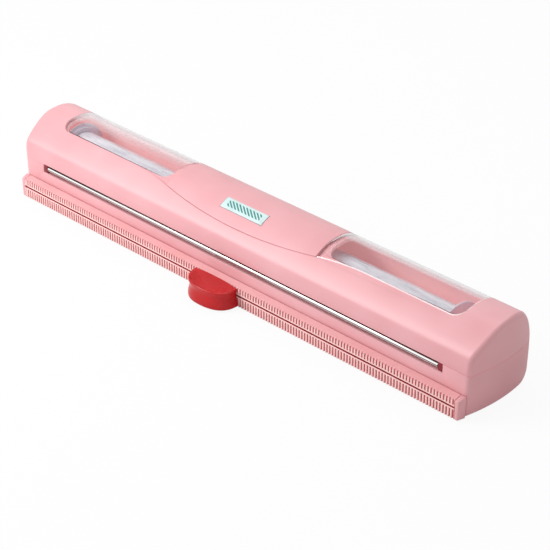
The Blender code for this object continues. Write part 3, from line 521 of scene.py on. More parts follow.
def roundedCorner(profile, radius, steps=4):
    # a profile whose inner corners are filleted by radius, or by less where an edge is short
    places = []
    for index, here in enumerate(profile):
        if index in (0, len(profile) - 1):
            places.append(here)
            continue
        here, before, after = Vector(here), Vector(profile[index - 1]), Vector(profile[index + 1])
        reach = min(radius, (before - here).length * 0.45, (after - here).length * 0.45)
        start, end = here + (before - here).normalized() * reach, here + (after - here).normalized() * reach
        for step in range(steps + 1):
            t = step / steps
            places.append(tuple((1 - t) ** 2 * start + 2 * t * (1 - t) * here + t * t * end))
    return places


# The casing's form

casing = {
    "front": 5.5, "depth": 53.5, "height": 51.2, "backFootRadius": 9.0,
    "halfRail": 185.0, "endBulge": 3.9, "endDraft": 0.029, "endRound": 2.6,
    "parting": 26.0, "wall": 2.2, "paneThickness": 1.6, "seamRound": 0.18,
    # the arch of the section as shares of depth and height
    "arch": ((0.0, 0.605), (0.013, 0.688), (0.055, 0.750), (0.148, 0.830), (0.266, 0.913), (0.375, 0.970),
             (0.490, 0.995), (0.650, 1.0), (0.785, 0.955), (0.882, 0.855), (0.946, 0.730), (0.983, 0.600),
             (0.996, 0.469), (1.0, 0.332)),
    "archLead": ((0.0, 0.480), (1.0, 0.200)),
    "archSteps": 5, "fineSteps": 14, "roundSteps": 7,
    "onSkin": 0.04, "nearSkin": 0.8,     # mm off the arch, and how alike the directions are, to count as skin
}
casingBack = casing["front"] + casing["depth"]
everywhere = casing["halfRail"] + casing["endBulge"] + casing["height"]


def archLine(steps):
    # a smooth line through the arch's places
    chain = [casing["archLead"][0], *casing["arch"], casing["archLead"][1]]
    places = []
    for index in range(1, len(chain) - 2):
        before, start, end, after = (Vector(chain[index + offset]) for offset in (-1, 0, 1, 2))
        for step in range(steps):
            t = step / steps
            square, cube = 2 * before - 5 * start + 4 * end - after, 3 * start - before - 3 * end + after
            places.append(0.5 * (2 * start + (end - before) * t + square * t ** 2 + cube * t ** 3))
    places.append(Vector(casing["arch"][-1]))
    return places


def casingSection(inset=0.0, topExtra=0.0, steps=casing["archSteps"]):
    arch = [Vector((casing["front"] + share.x * casing["depth"], share.y * casing["height"]))
            for share in archLine(steps)]
    upper = []
    for index, here in enumerate(arch):
        run = arch[min(index + 1, len(arch) - 1)] - arch[max(index - 1, 0)]
        outward = Vector((-run.y, run.x)).normalized()
        if index in (0, len(arch) - 1):
            outward = Vector((-1, 0) if index == 0 else (1, 0))
        upper.append(here - outward * (inset + topExtra * max(outward.y, 0)))
    lower = []
    for point in upper:
        turnedBy = point.x - (casingBack - casing["backFootRadius"])
        foot = casing["backFootRadius"] - inset
        rise = foot - math.sqrt(max(foot ** 2 - turnedBy ** 2, 0)) if turnedBy > 0 else 0
        lower.append(Vector((point.x, inset + rise)))
    return lower, upper


def endReach(y, z):
    across = 2 * y / casingBack - 1
    return casing["halfRail"] + casing["endBulge"] * (1 - across ** 2) + casing["endDraft"] * z


def casingForm(inset=0.0, topExtra=0.0, endInset=0.0, edgeRound=0.0):
    # inset moves the whole skin in, topExtra only where it faces up, and edgeRound rounds the ends
    steps = casing["roundSteps"] if edgeRound else 0
    form = bmesh.new()
    rings = []
    for side, order in ((-1, range(steps, -1, -1)), (1, range(steps + 1))):
        for step in order:
            turn = math.radians(90) * step / max(steps, 1)
            backOff = endInset + edgeRound * (1 - math.sin(turn))
            lower, upper = casingSection(inset + edgeRound * (1 - math.cos(turn)), topExtra)
            rings.append([form.verts.new((side * (endReach(*point) - backOff), *point))
                          for point in lower + upper[::-1]])
    count = len(rings[0]) // 2
    bridge(form, rings)
    for ring in (rings[0], rings[-1]):
        over = ring[:count - 1:-1]
        for index in range(count - 1):
            form.faces.new((ring[index], ring[index + 1], over[index + 1], over[index]))
    return closedMesh(form)


skinLine = casingSection(steps=casing["fineSteps"])[1]


def nearestOn(place):
    across = Vector((place.y, place.z))
    return min(range(len(skinLine)), key=lambda k: (skinLine[k] - across).length_squared)


def archNormal(place):
    nearest = nearestOn(place)
    before, after = skinLine[max(nearest - 1, 0)], skinLine[min(nearest + 1, len(skinLine) - 1)]
    run = (after - before).normalized()
    return Vector((0, -run.y, run.x))


def depthUnder(place):
    # how far a place lies under the arched skin, in mm
    outward = archNormal(place)
    nearest = skinLine[nearestOn(place)]
    return (nearest.x - place.y) * outward.y + (nearest.y - place.z) * outward.z


def easeSkin(mesh, places):
    # faces that the Booleans cut out of the arched skin get the arch's own normals
    known = {}
    for index, place in enumerate(places):
        between = abs(place.x) <= endReach(place.y, place.z) - casing["endRound"] + hair
        if place.z >= skinLine[0].y and between and abs(depthUnder(place)) < casing["onSkin"]:
            known[index] = archNormal(place)
    normals = [Vector(corner.vector) for corner in mesh.corner_normals]
    for face in mesh.polygons:
        for corner in face.loop_indices:
            outward = known.get(mesh.loops[corner].vertex_index)
            if outward and face.normal.dot(outward) > casing["nearSkin"]:
                normals[corner] = outward
    mesh.normals_split_custom_set([tuple(normal) for normal in normals])


lid = {
    "panelHalf": 63.0, "panelFront": 12.0, "windowFront": 20.1, "windowBack": 52.0, "windowEnd": 167.3,
    "cornerDrop": 3.1, "flareStart": 100.0, "cornerRadius": 7.5,
    "openingMargin": 1.8, "openingInner": 67.0, "openingRadius": 6.0, "overlap": 1.0,
    "tongueWidth": 6.0, "tongueThickness": 1.4, "tongueReach": 4.0, "tongueClearance": 0.7, "tongueInset": 4.0,
    "tongueRootReach": 3.6,
    "paneRound": 0.36, "panelRound": 0.22, "panelInset": 0.42,
    # on the right pane, border faces turned this much off the arch and this far from the panel get the painted
    # highlight
    "paintedHighlightLean": (0.2, 0.97), "paintedHighlightStart": 1.5,
    "rows": 40, "columns": 36, "cornerColumns": 14,      # of a pane's mesh
    "panelColumns": 56, "frontRows": 10, "seatRows": 8, "backRows": 26,
}
hinge = {
    "place": 110.0, "y": casingBack + 0.9, "z": casing["parting"], "radius": 2.7, "casingLength": 9.0,
    "lidLength": 12.0, "pinRadius": 1.1, "pinRound": 0.3, "clearance": 0.4, "play": 0.05,
}
hinge["half"] = hinge["lidLength"] / 2 + gap + hinge["casingLength"]
roll = {
    "shift": -4.7, "y": 33.5, "z": 27.0, "halfWidth": 158.0,
    "filmRadius": 14.4, "coreRadius": 11.9, "boreRadius": 10.5,
    "insert": 14.0, "hubWall": 1.6, "flangeRadius": 19.2, "flange": 5.0, "collarRadius": 16.7, "collar": 1.3,
    "rim": 1.0, "rimEdge": (0.5, 0.4), "hubRound": 0.5, "bossRadius": 9.0, "dimpleRadius": 6.2, "dimple": 0.8,
    "stubRadius": 4.0, "stubProud": 2.1, "cradleOffset": 2.4, "cradle": 2.2, "cradleDrop": 0.6,
    "hornWidth": 4.0, "hornRise": 3.0,
    "steps": 128, "rows": 160, "endRings": (12.25, 13.0),
    "tightness": 0.35,       # mm that the windings lie under the full radius
    # mm along the roll from fold to fold, how many go round it, and mm of height
    "foldWidth": 26, "foldsRound": 1.6, "foldHeight": 0.28, "slackWidth": 70, "slackHeight": 0.12,
}
slot = {
    "half": 168.7, "sill": 20.4, "rodRadius": 2.1, "rodY": 7.7, "rodZ": 23.2, "rodRound": 0.3, "journal": 1.3,
    "bushFace": 3.2, "bushTail": 3.6, "bushDepth": 6.6, "bushRound": 0.35,
    "shelfHeight": 3.0, "shelfWidth": 7.0,
}
rail = {
    "height": 12.0, "crest": 13.6, "depth": 5.2, "cap": 2.4, "plug": 6.0, "slit": 7.3, "slitWidth": 1.1,
    "eye": 0.9, "channelFront": 1.4, "channelDepth": 2.4, "channelHeight": 5.8, "tongueHeight": 1.4,
    "tongueReach": 1.2, "tongueLift": 9.8, "tongueSetback": 8.0,
    "edge": 0.3, "capRound": 0.5, "pitch": 2.2, "groove": 0.85, "grooveDepth": 0.9, "plainBand": 0.8,
    # shares of a groove's width where its section changes, and shares of half its width where
    # its slope starts and how long it is
    "grooveStops": (-0.7, -0.504, -0.308, 0, 0.308, 0.504, 0.7), "slope": (1.3, 0.75),
    "shoulder": 0.5, "shoulderEase": 0.12, "bend": 1.6, "crestDrop": 0.05, "combEnd": 1.0, "grooveEnd": 1.2,
    "eyeSteps": 6,
}
feet = {
    "radius": 6.5, "proud": 0.8, "seat": 1.2, "ease": 0.4, "groove": (1.4, 1.6, 2.2, 2.4), "grooveDepth": 0.25,
    "places": [(x, y) for x in (-163.0, 163.0) for y in (18.0, 42.5)],
}
sides = ((-1, "left"), (1, "right"))


def windowBorder(x):
    lead = max(lid["flareStart"] - x, 0) / (lid["flareStart"] - lid["panelHalf"])
    return lid["windowFront"] - lid["cornerDrop"] * lead ** 2


def panelBorder(x):
    sag = lid["windowFront"] - lid["cornerDrop"] - lid["panelFront"]
    return lid["panelFront"] + sag * (x / lid["panelHalf"]) ** 2


def shares(low, high, steps):
    return [low + (high - low) * step / steps for step in range(steps + 1)]


def panePlan(side, innerEnd):
    radius, end, back = lid["cornerRadius"], lid["windowEnd"], lid["windowBack"]
    outline = [(x, windowBorder(x)) for x in shares(innerEnd, lid["flareStart"], 16)[:-1]]
    outline += arc((end - radius, windowBorder(end) + radius), radius, -90, 0, 12)
    outline += arc((end - radius, back - radius), radius, 0, 90, 12)
    outline.append((innerEnd, back))
    return facing(side, outline)


def panelPlan():
    half, back = lid["panelHalf"], lid["windowBack"]
    return [(x, panelBorder(x)) for x in shares(-half, half, 40)] + [(half, back), (-half, back)]


def facing(side, row):
    # an outline or a row of columns, mirrored for the left side
    return [(-x, other) for x, other in row[::-1]] if side < 0 else row


def roundedPlan(low, high, radius, steps=8):
    outline = []
    for x, y, start in ((high[0] - radius, low[1] + radius, -90), (high[0] - radius, high[1] - radius, 0),
                        (low[0] + radius, high[1] - radius, 90), (low[0] + radius, low[1] + radius, 180)):
        outline += arc((x, y), radius, start, start + 90, steps)
    return outline


def hingeSpans(kind):
    spans = []
    inner, outer = hinge["lidLength"] / 2, hinge["half"]
    for middle in (-hinge["place"], hinge["place"]):
        if kind == "lid":
            spans.append((middle - inner, middle + inner))
        else:
            spans += [(middle - outer, middle - inner - gap), (middle + inner + gap, middle + outer)]
    return spans


def knuckles(kind):
    y, z, radius = hinge["y"], hinge["z"], hinge["radius"]
    return [("UNION", bar((low, y, z), (high, y, z), radius, 32)) for low, high in hingeSpans(kind)]


def knuckleRoom(kind, low, high):
    reach = hinge["radius"] + hinge["clearance"]
    return ("DIFFERENCE", gathered([
        block((start - gap, hinge["y"] - reach, low), (stop + gap, hinge["y"] + reach, high))
        for start, stop in hingeSpans(kind)]))


def pinBores():
    reach, y, z = hinge["half"] + past, hinge["y"], hinge["z"]
    return ("DIFFERENCE", gathered([
        bar((middle - reach, y, z), (middle + reach, y, z), hinge["pinRadius"] + hinge["play"], 24)
        for middle in (-hinge["place"], hinge["place"])]))


def lineInsideWithPaintedGlow(piece, inner):
    # faces deeper than the recess for the panes belong to the inside, and take its paler, glowing material of
    # painted light
    mesh = piece.data
    mesh.materials.append(inner)
    back = toRow.inverted()
    deep, near = casing["wall"] - 0.2, casing["wall"] - 0.1      # mm, a little less than the wall
    for face in mesh.polygons:
        place = back @ face.center
        if deep < place.z and casing["front"] + deep < place.y < casingBack - deep \
                and abs(place.x) < endReach(place.y, place.z) - deep and depthUnder(place) > near:
            face.material_index = 1


def cutBlock(low, high):
    return "DIFFERENCE", block(low, high)


def addBlock(low, high):
    return "UNION", block(low, high)


def mirrored(side, *reaches):
    return sorted(side * reach for reach in reaches)


def makeShell(name, body, node, steps, material, inner):
    mesh = soften(carve(casingForm(edgeRound=casing["endRound"]), *steps), casing["seamRound"])
    lineInsideWithPaintedGlow(putInPlace(name, mesh, material, body, [node], arched=True), inner)


def makeBaseShell(material, inner):
    wall, parting, front, sill = casing["wall"], casing["parting"], casing["front"], slot["sill"]
    shift, y, z = roll["shift"], roll["y"], roll["z"]
    horn = roll["stubRadius"] + gap + roll["hornWidth"]
    near = roll["halfWidth"] + gap + roll["flange"] + roll["cradleOffset"]
    far = near + roll["cradle"]
    bushBack, shelfEnd = front + gap + slot["bushDepth"], slot["half"] + slot["bushTail"] + gap
    steps = [
        cutBlock((-everywhere, -past, parting - seam / 2),
                 (everywhere, casingBack + past, casing["height"] + past)),
        ("DIFFERENCE", casingForm(inset=wall, endInset=wall)),
    ]
    for side in (-1, 1):
        low, high = (shift + x for x in mirrored(side, near, far))
        cradle = carve(block((low, bushBack, 0), (high, casingBack, parting - roll["cradleDrop"])),
                       ("INTERSECT", casingForm(inset=wall / 2, endInset=wall / 2)))
        steps += [("UNION", cradle),
                  addBlock((low, y - horn, z - horn), (high, y + horn, z + roll["hornRise"]))]
        low, high = mirrored(side, shelfEnd - slot["shelfWidth"], shelfEnd)
        steps.append(addBlock((low, front + wall / 2, sill - gap - slot["shelfHeight"]),
                              (high, bushBack, sill - gap)))
    room, top = roll["stubRadius"] + gap, z + roll["hornRise"] + past
    notch = arc((y, z), room, 180, 360, 20) + [(y + room, top), (y - room, top)]
    for side in (-1, 1):
        low, high = (shift + x for x in mirrored(side, near - past, far + past))
        steps.append(("DIFFERENCE", raised(notch, low, high, "YZ")))
    grooveEnd = casing["halfRail"] - rail["tongueSetback"] + gap
    grooveTop = rail["tongueLift"] + rail["tongueHeight"] + gap
    seats = [bar((x, y, -past), (x, y, feet["seat"]), feet["radius"] + gap) for x, y in feet["places"]]
    steps += [
        cutBlock((-slot["half"], -past, sill),
                 (slot["half"], slot["rodY"] + slot["rodRadius"] + past, parting + past)),
        cutBlock((-grooveEnd, -past, rail["tongueLift"] - gap),
                 (grooveEnd, front + rail["tongueReach"] + gap, grooveTop)),
        ("DIFFERENCE", gathered(seats)),
        knuckleRoom("lid", hinge["z"] - hinge["radius"] - hinge["clearance"], parting + past),
        *knuckles("casing"), pinBores(),
    ]
    makeShell("base_shell", "base", "base_casing", steps, material, inner)


def makeLidShell(material, inner):
    wall, parting, front, margin = casing["wall"], casing["parting"], casing["front"], lid["openingMargin"]
    roof, middle = casing["height"] + past, casing["height"] / 2 + past
    steps = [
        cutBlock((-everywhere, -past, -past), (everywhere, casingBack + past, parting + seam / 2)),
        ("DIFFERENCE", casingForm(inset=wall, topExtra=casing["paneThickness"], endInset=wall)),
    ]
    innerEnd = lid["panelHalf"] - lid["overlap"]
    for plan in (panelPlan(), panePlan(-1, innerEnd), panePlan(1, innerEnd)):
        recess = carve(raised(plan, middle, roof),
                       ("DIFFERENCE", casingForm(inset=casing["paneThickness"] + gap)))
        steps.append(("DIFFERENCE", recess))
    for side in (-1, 1):
        near, far = mirrored(side, lid["openingInner"], lid["windowEnd"] - margin)
        plan = roundedPlan((near, lid["windowFront"] + margin), (far, lid["windowBack"] - margin),
                           lid["openingRadius"])
        steps.append(("DIFFERENCE", raised(plan, middle, roof)))
    inside, outer = front + wall + lid["tongueClearance"], casing["halfRail"] - wall - lid["tongueInset"]
    reach, thickness = lid["tongueReach"], lid["tongueThickness"]
    for side in (-1, 1):
        low, high = mirrored(side, outer - lid["tongueWidth"], outer)
        steps += [
            addBlock((low, inside, parting - reach), (high, inside + thickness, parting + reach)),
            addBlock((low, front + wall / 2, parting + reach / 2),
                     (high, inside + thickness / 2, parting + lid["tongueRootReach"])),
        ]
    steps += [knuckleRoom("casing", parting - past, hinge["z"] + hinge["radius"] + hinge["clearance"]),
              *knuckles("lid"), pinBores()]
    makeShell("lid_skin", "lid", "lid_shell", steps, material, inner)


label = {
    "start": -18.05, "end": 16.45, "front": 19.5, "back": 26.4, "proud": 0.2, "seat": 0.7,
    "mint": ("#C6E4E4", "#DDF1F1"), "teal": "#23857F",
    "markPitch": 2.9,            # mm along x, y and z together, from one slanting mark to the next
    "markEnds": 3.5, "markRows": 1.5,    # mm left plain round the marks
    "markEdge": ((0.42, 0.0), (0.50, 1.0)), "mintSize": 9, "round": 0.12,
}


def heightOver(line, y):
    # line runs from the front to the back over the arch
    for near, far in zip(line, line[1:]):
        if near.x <= y <= far.x:
            share = (y - near.x) / max(far.x - near.x, 1e-9)
            return near.y + (far.y - near.y) * share
    return line[-1].y if y > line[-1].x else line[0].y


def skinPatch(columns, proud, thickness, sunk=None):
    # a piece of the casing's skin: each column is a place along X and its rows of Y, front to back
    outer, inner = (casingSection(inset, steps=casing["fineSteps"])[1] for inset in (-proud, thickness - proud))
    form = bmesh.new()
    over, under = [], []
    for x, rows in columns:
        over.append([form.verts.new((x, y, heightOver(outer, y) - (sunk(x, y) if sunk else 0))) for y in rows])
        under.append([form.verts.new((x, y, heightOver(inner, y))) for y in rows])
    last = len(over[0]) - 1
    for (top, low), (nextTop, nextLow) in zip(zip(over, under), zip(over[1:], under[1:])):
        for row in range(last):
            form.faces.new((top[row], nextTop[row], nextTop[row + 1], top[row + 1]))
            form.faces.new((low[row + 1], nextLow[row + 1], nextLow[row], low[row]))
        for row in (0, last):
            form.faces.new((top[row], nextTop[row], nextLow[row], low[row]))
    for top, low in ((over[0], under[0]), (over[-1], under[-1])):
        for row in range(last):
            form.faces.new((top[row], top[row + 1], low[row + 1], low[row]))
    return closedMesh(form)


def paneColumns(side, inset, innerEnd):
    radius = lid["cornerRadius"] - inset
    end, back = lid["windowEnd"] - inset, lid["windowBack"] - inset
    rows, front = lid["rows"], windowBorder(end) + inset
    columns = [(x, shares(windowBorder(x) + inset, back, rows))
               for x in shares(innerEnd, end - radius, lid["columns"])]
    for turn in shares(0, math.radians(90), lid["cornerColumns"])[1:]:
        draw = radius * (1 - math.cos(turn))
        columns.append((end - radius + radius * math.sin(turn), shares(front + draw, back - draw, rows)))
    return [(side * x, row) for x, row in columns]


def panelColumns(inset, half):
    front, back = label["front"] - gap, label["back"] + gap
    fixed = [front - hair, *shares(front, back, lid["seatRows"])]
    fixed += shares(back + hair, lid["windowBack"] - inset, lid["backRows"])
    start, end = label["start"] - gap, label["end"] + gap
    places = sorted(shares(-half, half, lid["panelColumns"]) + [start - hair, start, end, end + hair])
    return [(x, shares(panelBorder(x) + inset, fixed[0], lid["frontRows"])[:-1] + fixed) for x in places]


def makeLidPieces(pink, clear, rim, printed):
    sideEnd = lid["panelHalf"] + gap / 2
    for side, name in sides:
        mesh = skinPatch(paneColumns(side, gap, sideEnd), 0.0, casing["paneThickness"])
        mesh = soften(mesh, lid["paneRound"])
        putInPlace(f"pane_{name}", mesh, clear, "lid", [f"window_pane_{name}"])
        # the painted highlight material, set below on the right pane's leaning border faces only
        mesh.materials.append(rim)
        low, high = lid["paintedHighlightLean"]
        for face in mesh.polygons:
            middle = toRow.inverted() @ face.center
            if low < face.normal.dot(archNormal(middle)) < high and middle.x > sideEnd + lid["paintedHighlightStart"]:
                face.material_index = 1

    def seatDepth(x, y):
        inX = label["start"] - gap <= x <= label["end"] + gap
        inY = label["front"] - gap <= y <= label["back"] + gap
        return label["seat"] if inX and inY else 0

    columns = panelColumns(lid["panelInset"], lid["panelHalf"] - gap / 2)
    mesh = skinPatch(columns, 0.0, casing["paneThickness"], seatDepth)
    mesh = soften(mesh, lid["panelRound"], angle=50)
    putInPlace("middle_panel", mesh, pink, "lid", ["centre_panel"], arched=True)
    columns = [(x, shares(label["front"], label["back"], 8)) for x in shares(label["start"], label["end"], 8)]
    mesh = skinPatch(columns, label["proud"], label["seat"] - gap + label["proud"])
    putInPlace("printed_plate", soften(mesh, label["round"]), printed, "lid", ["label_plate"])


def printedPlate():
    # mint printed polyester plate: plain teal marks, no lettering
    made, tree, shader, place = newMaterial("printed_polyester_plate", IOR=1.57, Roughness=0.32)
    axes = addNode(tree, "SeparateXYZ", None, {"Vector": place}).outputs
    # a wave's diagonal bands come every 2 pi / (10 x scale) of x + y + z
    stripes = addNode(tree, "TexWave", {"bands_direction": "DIAGONAL"},
                      {"Vector": place, "Scale": 2 * math.pi / (10 * 0.001 * label["markPitch"])})
    shown = ramp(tree, stripes.outputs["Fac"], *label["markEdge"])
    across = (0.001 * (label["start"] + label["markEnds"]), 0.001 * (label["end"] - label["markEnds"]))
    along = (railLow.y + 0.001 * (label["front"] + label["markRows"]),
             railLow.y + 0.001 * (label["back"] - label["markRows"]))
    for axis, (low, high) in (("X", across), ("Y", along)):
        for test, level in (("GREATER_THAN", low), ("LESS_THAN", high)):
            shown = calc(tree, "MULTIPLY", shown, calc(tree, test, axes[axis], level))
    mint = tinted(tree, mottled(tree, place, label["mintSize"]), label["mint"])
    feed(shader, Base_Color=blended(tree, shown, mint, linear(label["teal"])))
    return made


def makeRail(material):
    # the section runs round the face, over the slit's lips into the channel, and back over the top
    low, high = rail["slit"] - rail["channelHeight"] / 2, rail["slit"] + rail["channelHeight"] / 2
    front, back = rail["channelFront"], rail["channelFront"] + rail["channelDepth"]
    half = casing["halfRail"] - rail["cap"] - seam
    edge, pitch, top, depth = rail["edge"], rail["pitch"], rail["height"], rail["depth"]
    eyePlace = rail["eye"] - half + gap
    count = int(2 * half / pitch)
    start = -count * pitch / 2
    stations = {-half, half}
    for index in range(count + 1):
        for offset in rail["grooveStops"]:
            x = start + index * pitch + offset * rail["groove"]
            if abs(x) < half - rail["combEnd"]:
                stations.add(round(x, 4))
    for x in shares(eyePlace - rail["eye"], eyePlace + rail["eye"], 2 * rail["eyeSteps"]):
        stations.add(round(x, 4))

    def grooved(x):
        share = abs((x - start + pitch / 2) % pitch - pitch / 2) / (rail["groove"] / 2)
        rise, run = rail["slope"]
        if abs(x) > half - rail["grooveEnd"] or share >= rise:
            return 0.0
        return rail["grooveDepth"] * min(1.0, max(0.0, (rise - share) / run))

    def section(x):
        lip = rail["slitWidth"] / 2
        lowTop, highBottom = rail["slit"] - lip - rail["plainBand"], rail["slit"] + lip + rail["plainBand"]
        if abs(x - eyePlace) < rail["eye"]:
            lip = max(lip, math.sqrt(rail["eye"] ** 2 - (x - eyePlace) ** 2))
        cut = grooved(x)
        below, above = rail["slit"] - lip, rail["slit"] + lip
        shoulder, ease, bend = rail["shoulder"], rail["shoulderEase"], rail["bend"]
        crest = rail["crest"] - rail["crestDrop"]
        slope = (rail["crest"] - top) / depth
        return [
            (edge + cut, 0), (cut + edge * 0.3, edge * 0.3), (cut, edge),
            (cut, lowTop - shoulder), (cut * 0.5, lowTop - ease), (0, lowTop),
            (0, below - edge * 0.5), (edge * 0.5, below), (front, below), (front, low), (back, low),
            (back, high), (front, high), (front, above), (edge * 0.5, above), (0, above + edge * 0.5),
            (0, highBottom), (cut * 0.5, highBottom + ease), (cut, highBottom + shoulder),
            (cut, top - edge), (cut + edge * 0.3, top - edge * 0.2), (cut + edge, top + slope * (cut + edge)),
            (bend, top + slope * bend), (depth - edge, crest - slope * edge), (depth, crest - edge),
            (depth, edge), (depth - edge, 0),
        ]

    mesh = lofted([[(x, *point) for point in section(x)] for x in sorted(stations)])
    tongueEnd, lift = casing["halfRail"] - rail["tongueSetback"], rail["tongueLift"]
    tongueBack = casing["front"] + rail["tongueReach"]
    mesh = carve(mesh, addBlock((-tongueEnd, depth - gap, lift),
                                (tongueEnd, tongueBack, lift + rail["tongueHeight"])))
    putInPlace("comb_rail", mesh, material, "base", ["cutter_rail"], 28)


def makeRailCaps(material):
    section = [(0, 0), (rail["depth"], 0), (rail["depth"], rail["crest"]), (0, rail["height"])]
    inner, plugHalf = casing["halfRail"] - rail["cap"], rail["channelHeight"] / 2 - gap
    plugFront, plugBack = rail["channelFront"] + gap, rail["channelFront"] + rail["channelDepth"] - gap
    for side, name in sides:
        cap = lofted([[(side * inner, *point) for point in section],
                      [(side * endReach(*point), *point) for point in section]])
        low, high = mirrored(side, inner - rail["plug"], inner + rail["cap"] / 2)
        mesh = carve(soften(cap, rail["capRound"], 3, 20),
                     addBlock((low, plugFront, rail["slit"] - plugHalf),
                              (high, plugBack, rail["slit"] + plugHalf)))
        putInPlace(f"end_cap_{name}", mesh, material, "base", [f"rail_cap_{name}"])


def makeRod(chrome, darkRed):
    end = slot["half"] - gap
    start = end - slot["bushFace"]
    y, z, radius, journal = slot["rodY"], slot["rodZ"], slot["rodRadius"], slot["journal"]
    profile = [(0, end), (journal, end), (journal, start - gap), (radius, start - gap), (radius, 0)]
    profile = roundedCorner(profile, slot["rodRound"])[:-1]
    profile += [(out, -along) for out, along in profile[::-1]]
    mesh = moved(turned(profile, 64), 0, y, z)
    putInPlace("polished_rod", mesh, chrome, "rod", ["guide_rod"])
    front, tailFront = casing["front"] + gap, casing["front"] + casing["wall"] + gap
    back, tail = front + slot["bushDepth"] - gap, end + slot["bushTail"]
    plan = [(start, front), (end, front), (end, tailFront), (tail, tailFront), (tail, back), (start, back)]
    for side, name in sides:
        bush = raised(facing(side, plan), slot["sill"] + gap, casing["parting"] - gap)
        low, high = mirrored(side, start - past, end + gap)
        bore = bar((low, y, z), (high, y, z), journal + gap / 2)
        mesh = carve(soften(bush, slot["bushRound"], 3), ("DIFFERENCE", bore))
        putInPlace(f"bush_{name}", mesh, darkRed, "base", [f"rod_bush_{name}"])


def windings():
    # the film's slack folds and its flat ends, as rings along the roll
    half, rows = roll["halfWidth"], roll["rows"]
    full = roll["filmRadius"] - roll["tightness"]
    rings = []
    for row, x in enumerate(shares(-half, half, rows)):
        ring = []
        for _, c, s in circle(x, 1, roll["steps"]):
            place = Vector((x / roll["foldWidth"], c * roll["foldsRound"], s * roll["foldsRound"] + 3))
            fold = noise.fractal(place, 0.9, 2.1, 4)
            slack = noise.noise(Vector((x / roll["slackWidth"] + 9, c, s)))
            drawn = roll["tightness"] if row in (0, rows) else 0
            radius = full + roll["foldHeight"] * fold + roll["slackHeight"] * slack - drawn
            ring.append((x, radius * c, radius * s))
        rings.append(ring)
    inner, outer = roll["endRings"]
    ends = ((half, outer), (half, inner), (-half, inner), (-half, outer))
    return rings + [circle(x, radius, roll["steps"]) for x, radius in ends]


def makeRoll(film, board, grey):
    half, bore, flange, boss = roll["halfWidth"], roll["boreRadius"], roll["flangeRadius"], roll["bossRadius"]
    place = (roll["shift"], roll["y"], roll["z"])
    wound = moved(lofted(windings(), loop=True), *place)
    putInPlace("wound_film", wound, film, "roll", ["film_roll"], 50)
    tube = [(roll["coreRadius"], half), (roll["coreRadius"], -half), (bore, -half), (bore, half)]
    putInPlace("paper_core", moved(turned(tube), *place), board, "roll", ["core_tube"])
    insert, start = bore - gap, half + gap
    end, collar, tail = start + roll["flange"], start + roll["collar"], half - roll["insert"]
    tip = end + roll["cradleOffset"] + roll["cradle"] + roll["stubProud"]
    rim, dimple = collar + roll["rim"], end - roll["dimple"]
    across, along = roll["rimEdge"]
    hub = roundedCorner([
        (0, tip), (roll["stubRadius"], tip), (roll["stubRadius"], dimple), (roll["dimpleRadius"], dimple),
        (roll["dimpleRadius"], end), (boss, end), (flange - across, rim), (flange, rim - along), (flange, collar),
        (roll["collarRadius"], collar), (roll["collarRadius"], start), (insert, start), (insert, tail),
        (insert - roll["hubWall"], tail), (insert - roll["hubWall"], start), (0, start),
    ], roll["hubRound"])
    for side, name in sides:
        profile = hub if side > 0 else [(radius, -along) for radius, along in hub[::-1]]
        mesh = moved(turned(profile), *place)
        putInPlace(f"end_hub_{name}", mesh, grey, "roll", [f"roll_hub_{name}"])


knob = {
    "rest": -1.5, "half": 18.5, "back": -0.3, "front": -15.1, "low": 0.15, "high": 13.3, "slope": 1.7,
    "square": (2.7, 1.9),        # how square the plan is at its right and left ends
    "dishCentre": -9.0, "slotHalf": 14.3, "slotFront": -4.3, "slotLip": 0.5, "arcSteps": 72, "backSteps": 18,
    # share of the height and of the plan, from the bottom up to the crest
    "wall": ((0, 0.95), (0.008, 0.975), (0.03, 0.992), (0.07, 1.0), (0.16, 1.0), (0.28, 0.992),
             (0.42, 0.968), (0.54, 0.944), (0.64, 0.934), (0.74, 0.938), (0.83, 0.954), (0.91, 0.976),
             (0.96, 0.982), (0.985, 0.974), (1.0, 0.952)),
    # share of the plan and drop under the crest, from the crest into the thumb's hollow
    "scoop": ((0.91, 0.14), (0.82, 0.48), (0.70, 0.90), (0.56, 1.25), (0.40, 1.50), (0.22, 1.62), (0.07, 1.65)),
    "leftFall": 1.3, "rightFall": 1.6,    # mm that the crest drops towards its ends
}


def makeKnob(red):
    def plan(turn):
        blend = (1 - math.cos(turn)) / 2
        power = 2 / (knob["square"][0] + (knob["square"][1] - knob["square"][0]) * blend)
        across = math.copysign(abs(math.cos(turn)) ** power, math.cos(turn))
        return across * knob["half"], (knob["front"] - knob["back"]) * abs(math.sin(turn)) ** power

    outline = [plan(turn) for turn in shares(0, math.pi, knob["arcSteps"])]
    outline += [(x, 0.0) for x in shares(-knob["half"], knob["half"], knob["backSteps"])[1:-1]]

    def topAt(x, y):
        fall = (knob["leftFall"] if x < 0 else knob["rightFall"]) * abs(x / knob["half"]) ** 3
        return knob["high"] - knob["slope"] * abs(y) / abs(knob["front"]) - fall

    rest, back, low = knob["rest"], knob["back"], knob["low"]
    dish, lip = knob["dishCentre"], knob["wall"][-1][1]
    rings = []
    for share, scale in knob["wall"]:
        ring = [(x * scale, back + y * scale) for x, y in outline]
        rings.append([(rest + x, y, low + (topAt(x, y) - low) * share) for x, y in ring])
    for scale, drop in knob["scoop"]:
        ring = [(x * scale, dish + (back + y * lip - dish) * scale / lip) for x, y in outline]
        rings.append([(rest + x, y, topAt(x, y) - drop) for x, y in ring])
    mesh = carve(lofted(rings), cutBlock(
        (rest - knob["slotHalf"], knob["slotFront"], rail["slit"] - knob["slotLip"]),
        (rest + knob["slotHalf"], past, rail["slit"] + knob["slotLip"])))
    putInPlace("thumb_knob", mesh, red, "slider", ["slider_knob"], 50)


def dress(node, material):
    piece = frame["nodes"][node]
    piece.data.materials.clear()
    piece.data.materials.append(material)


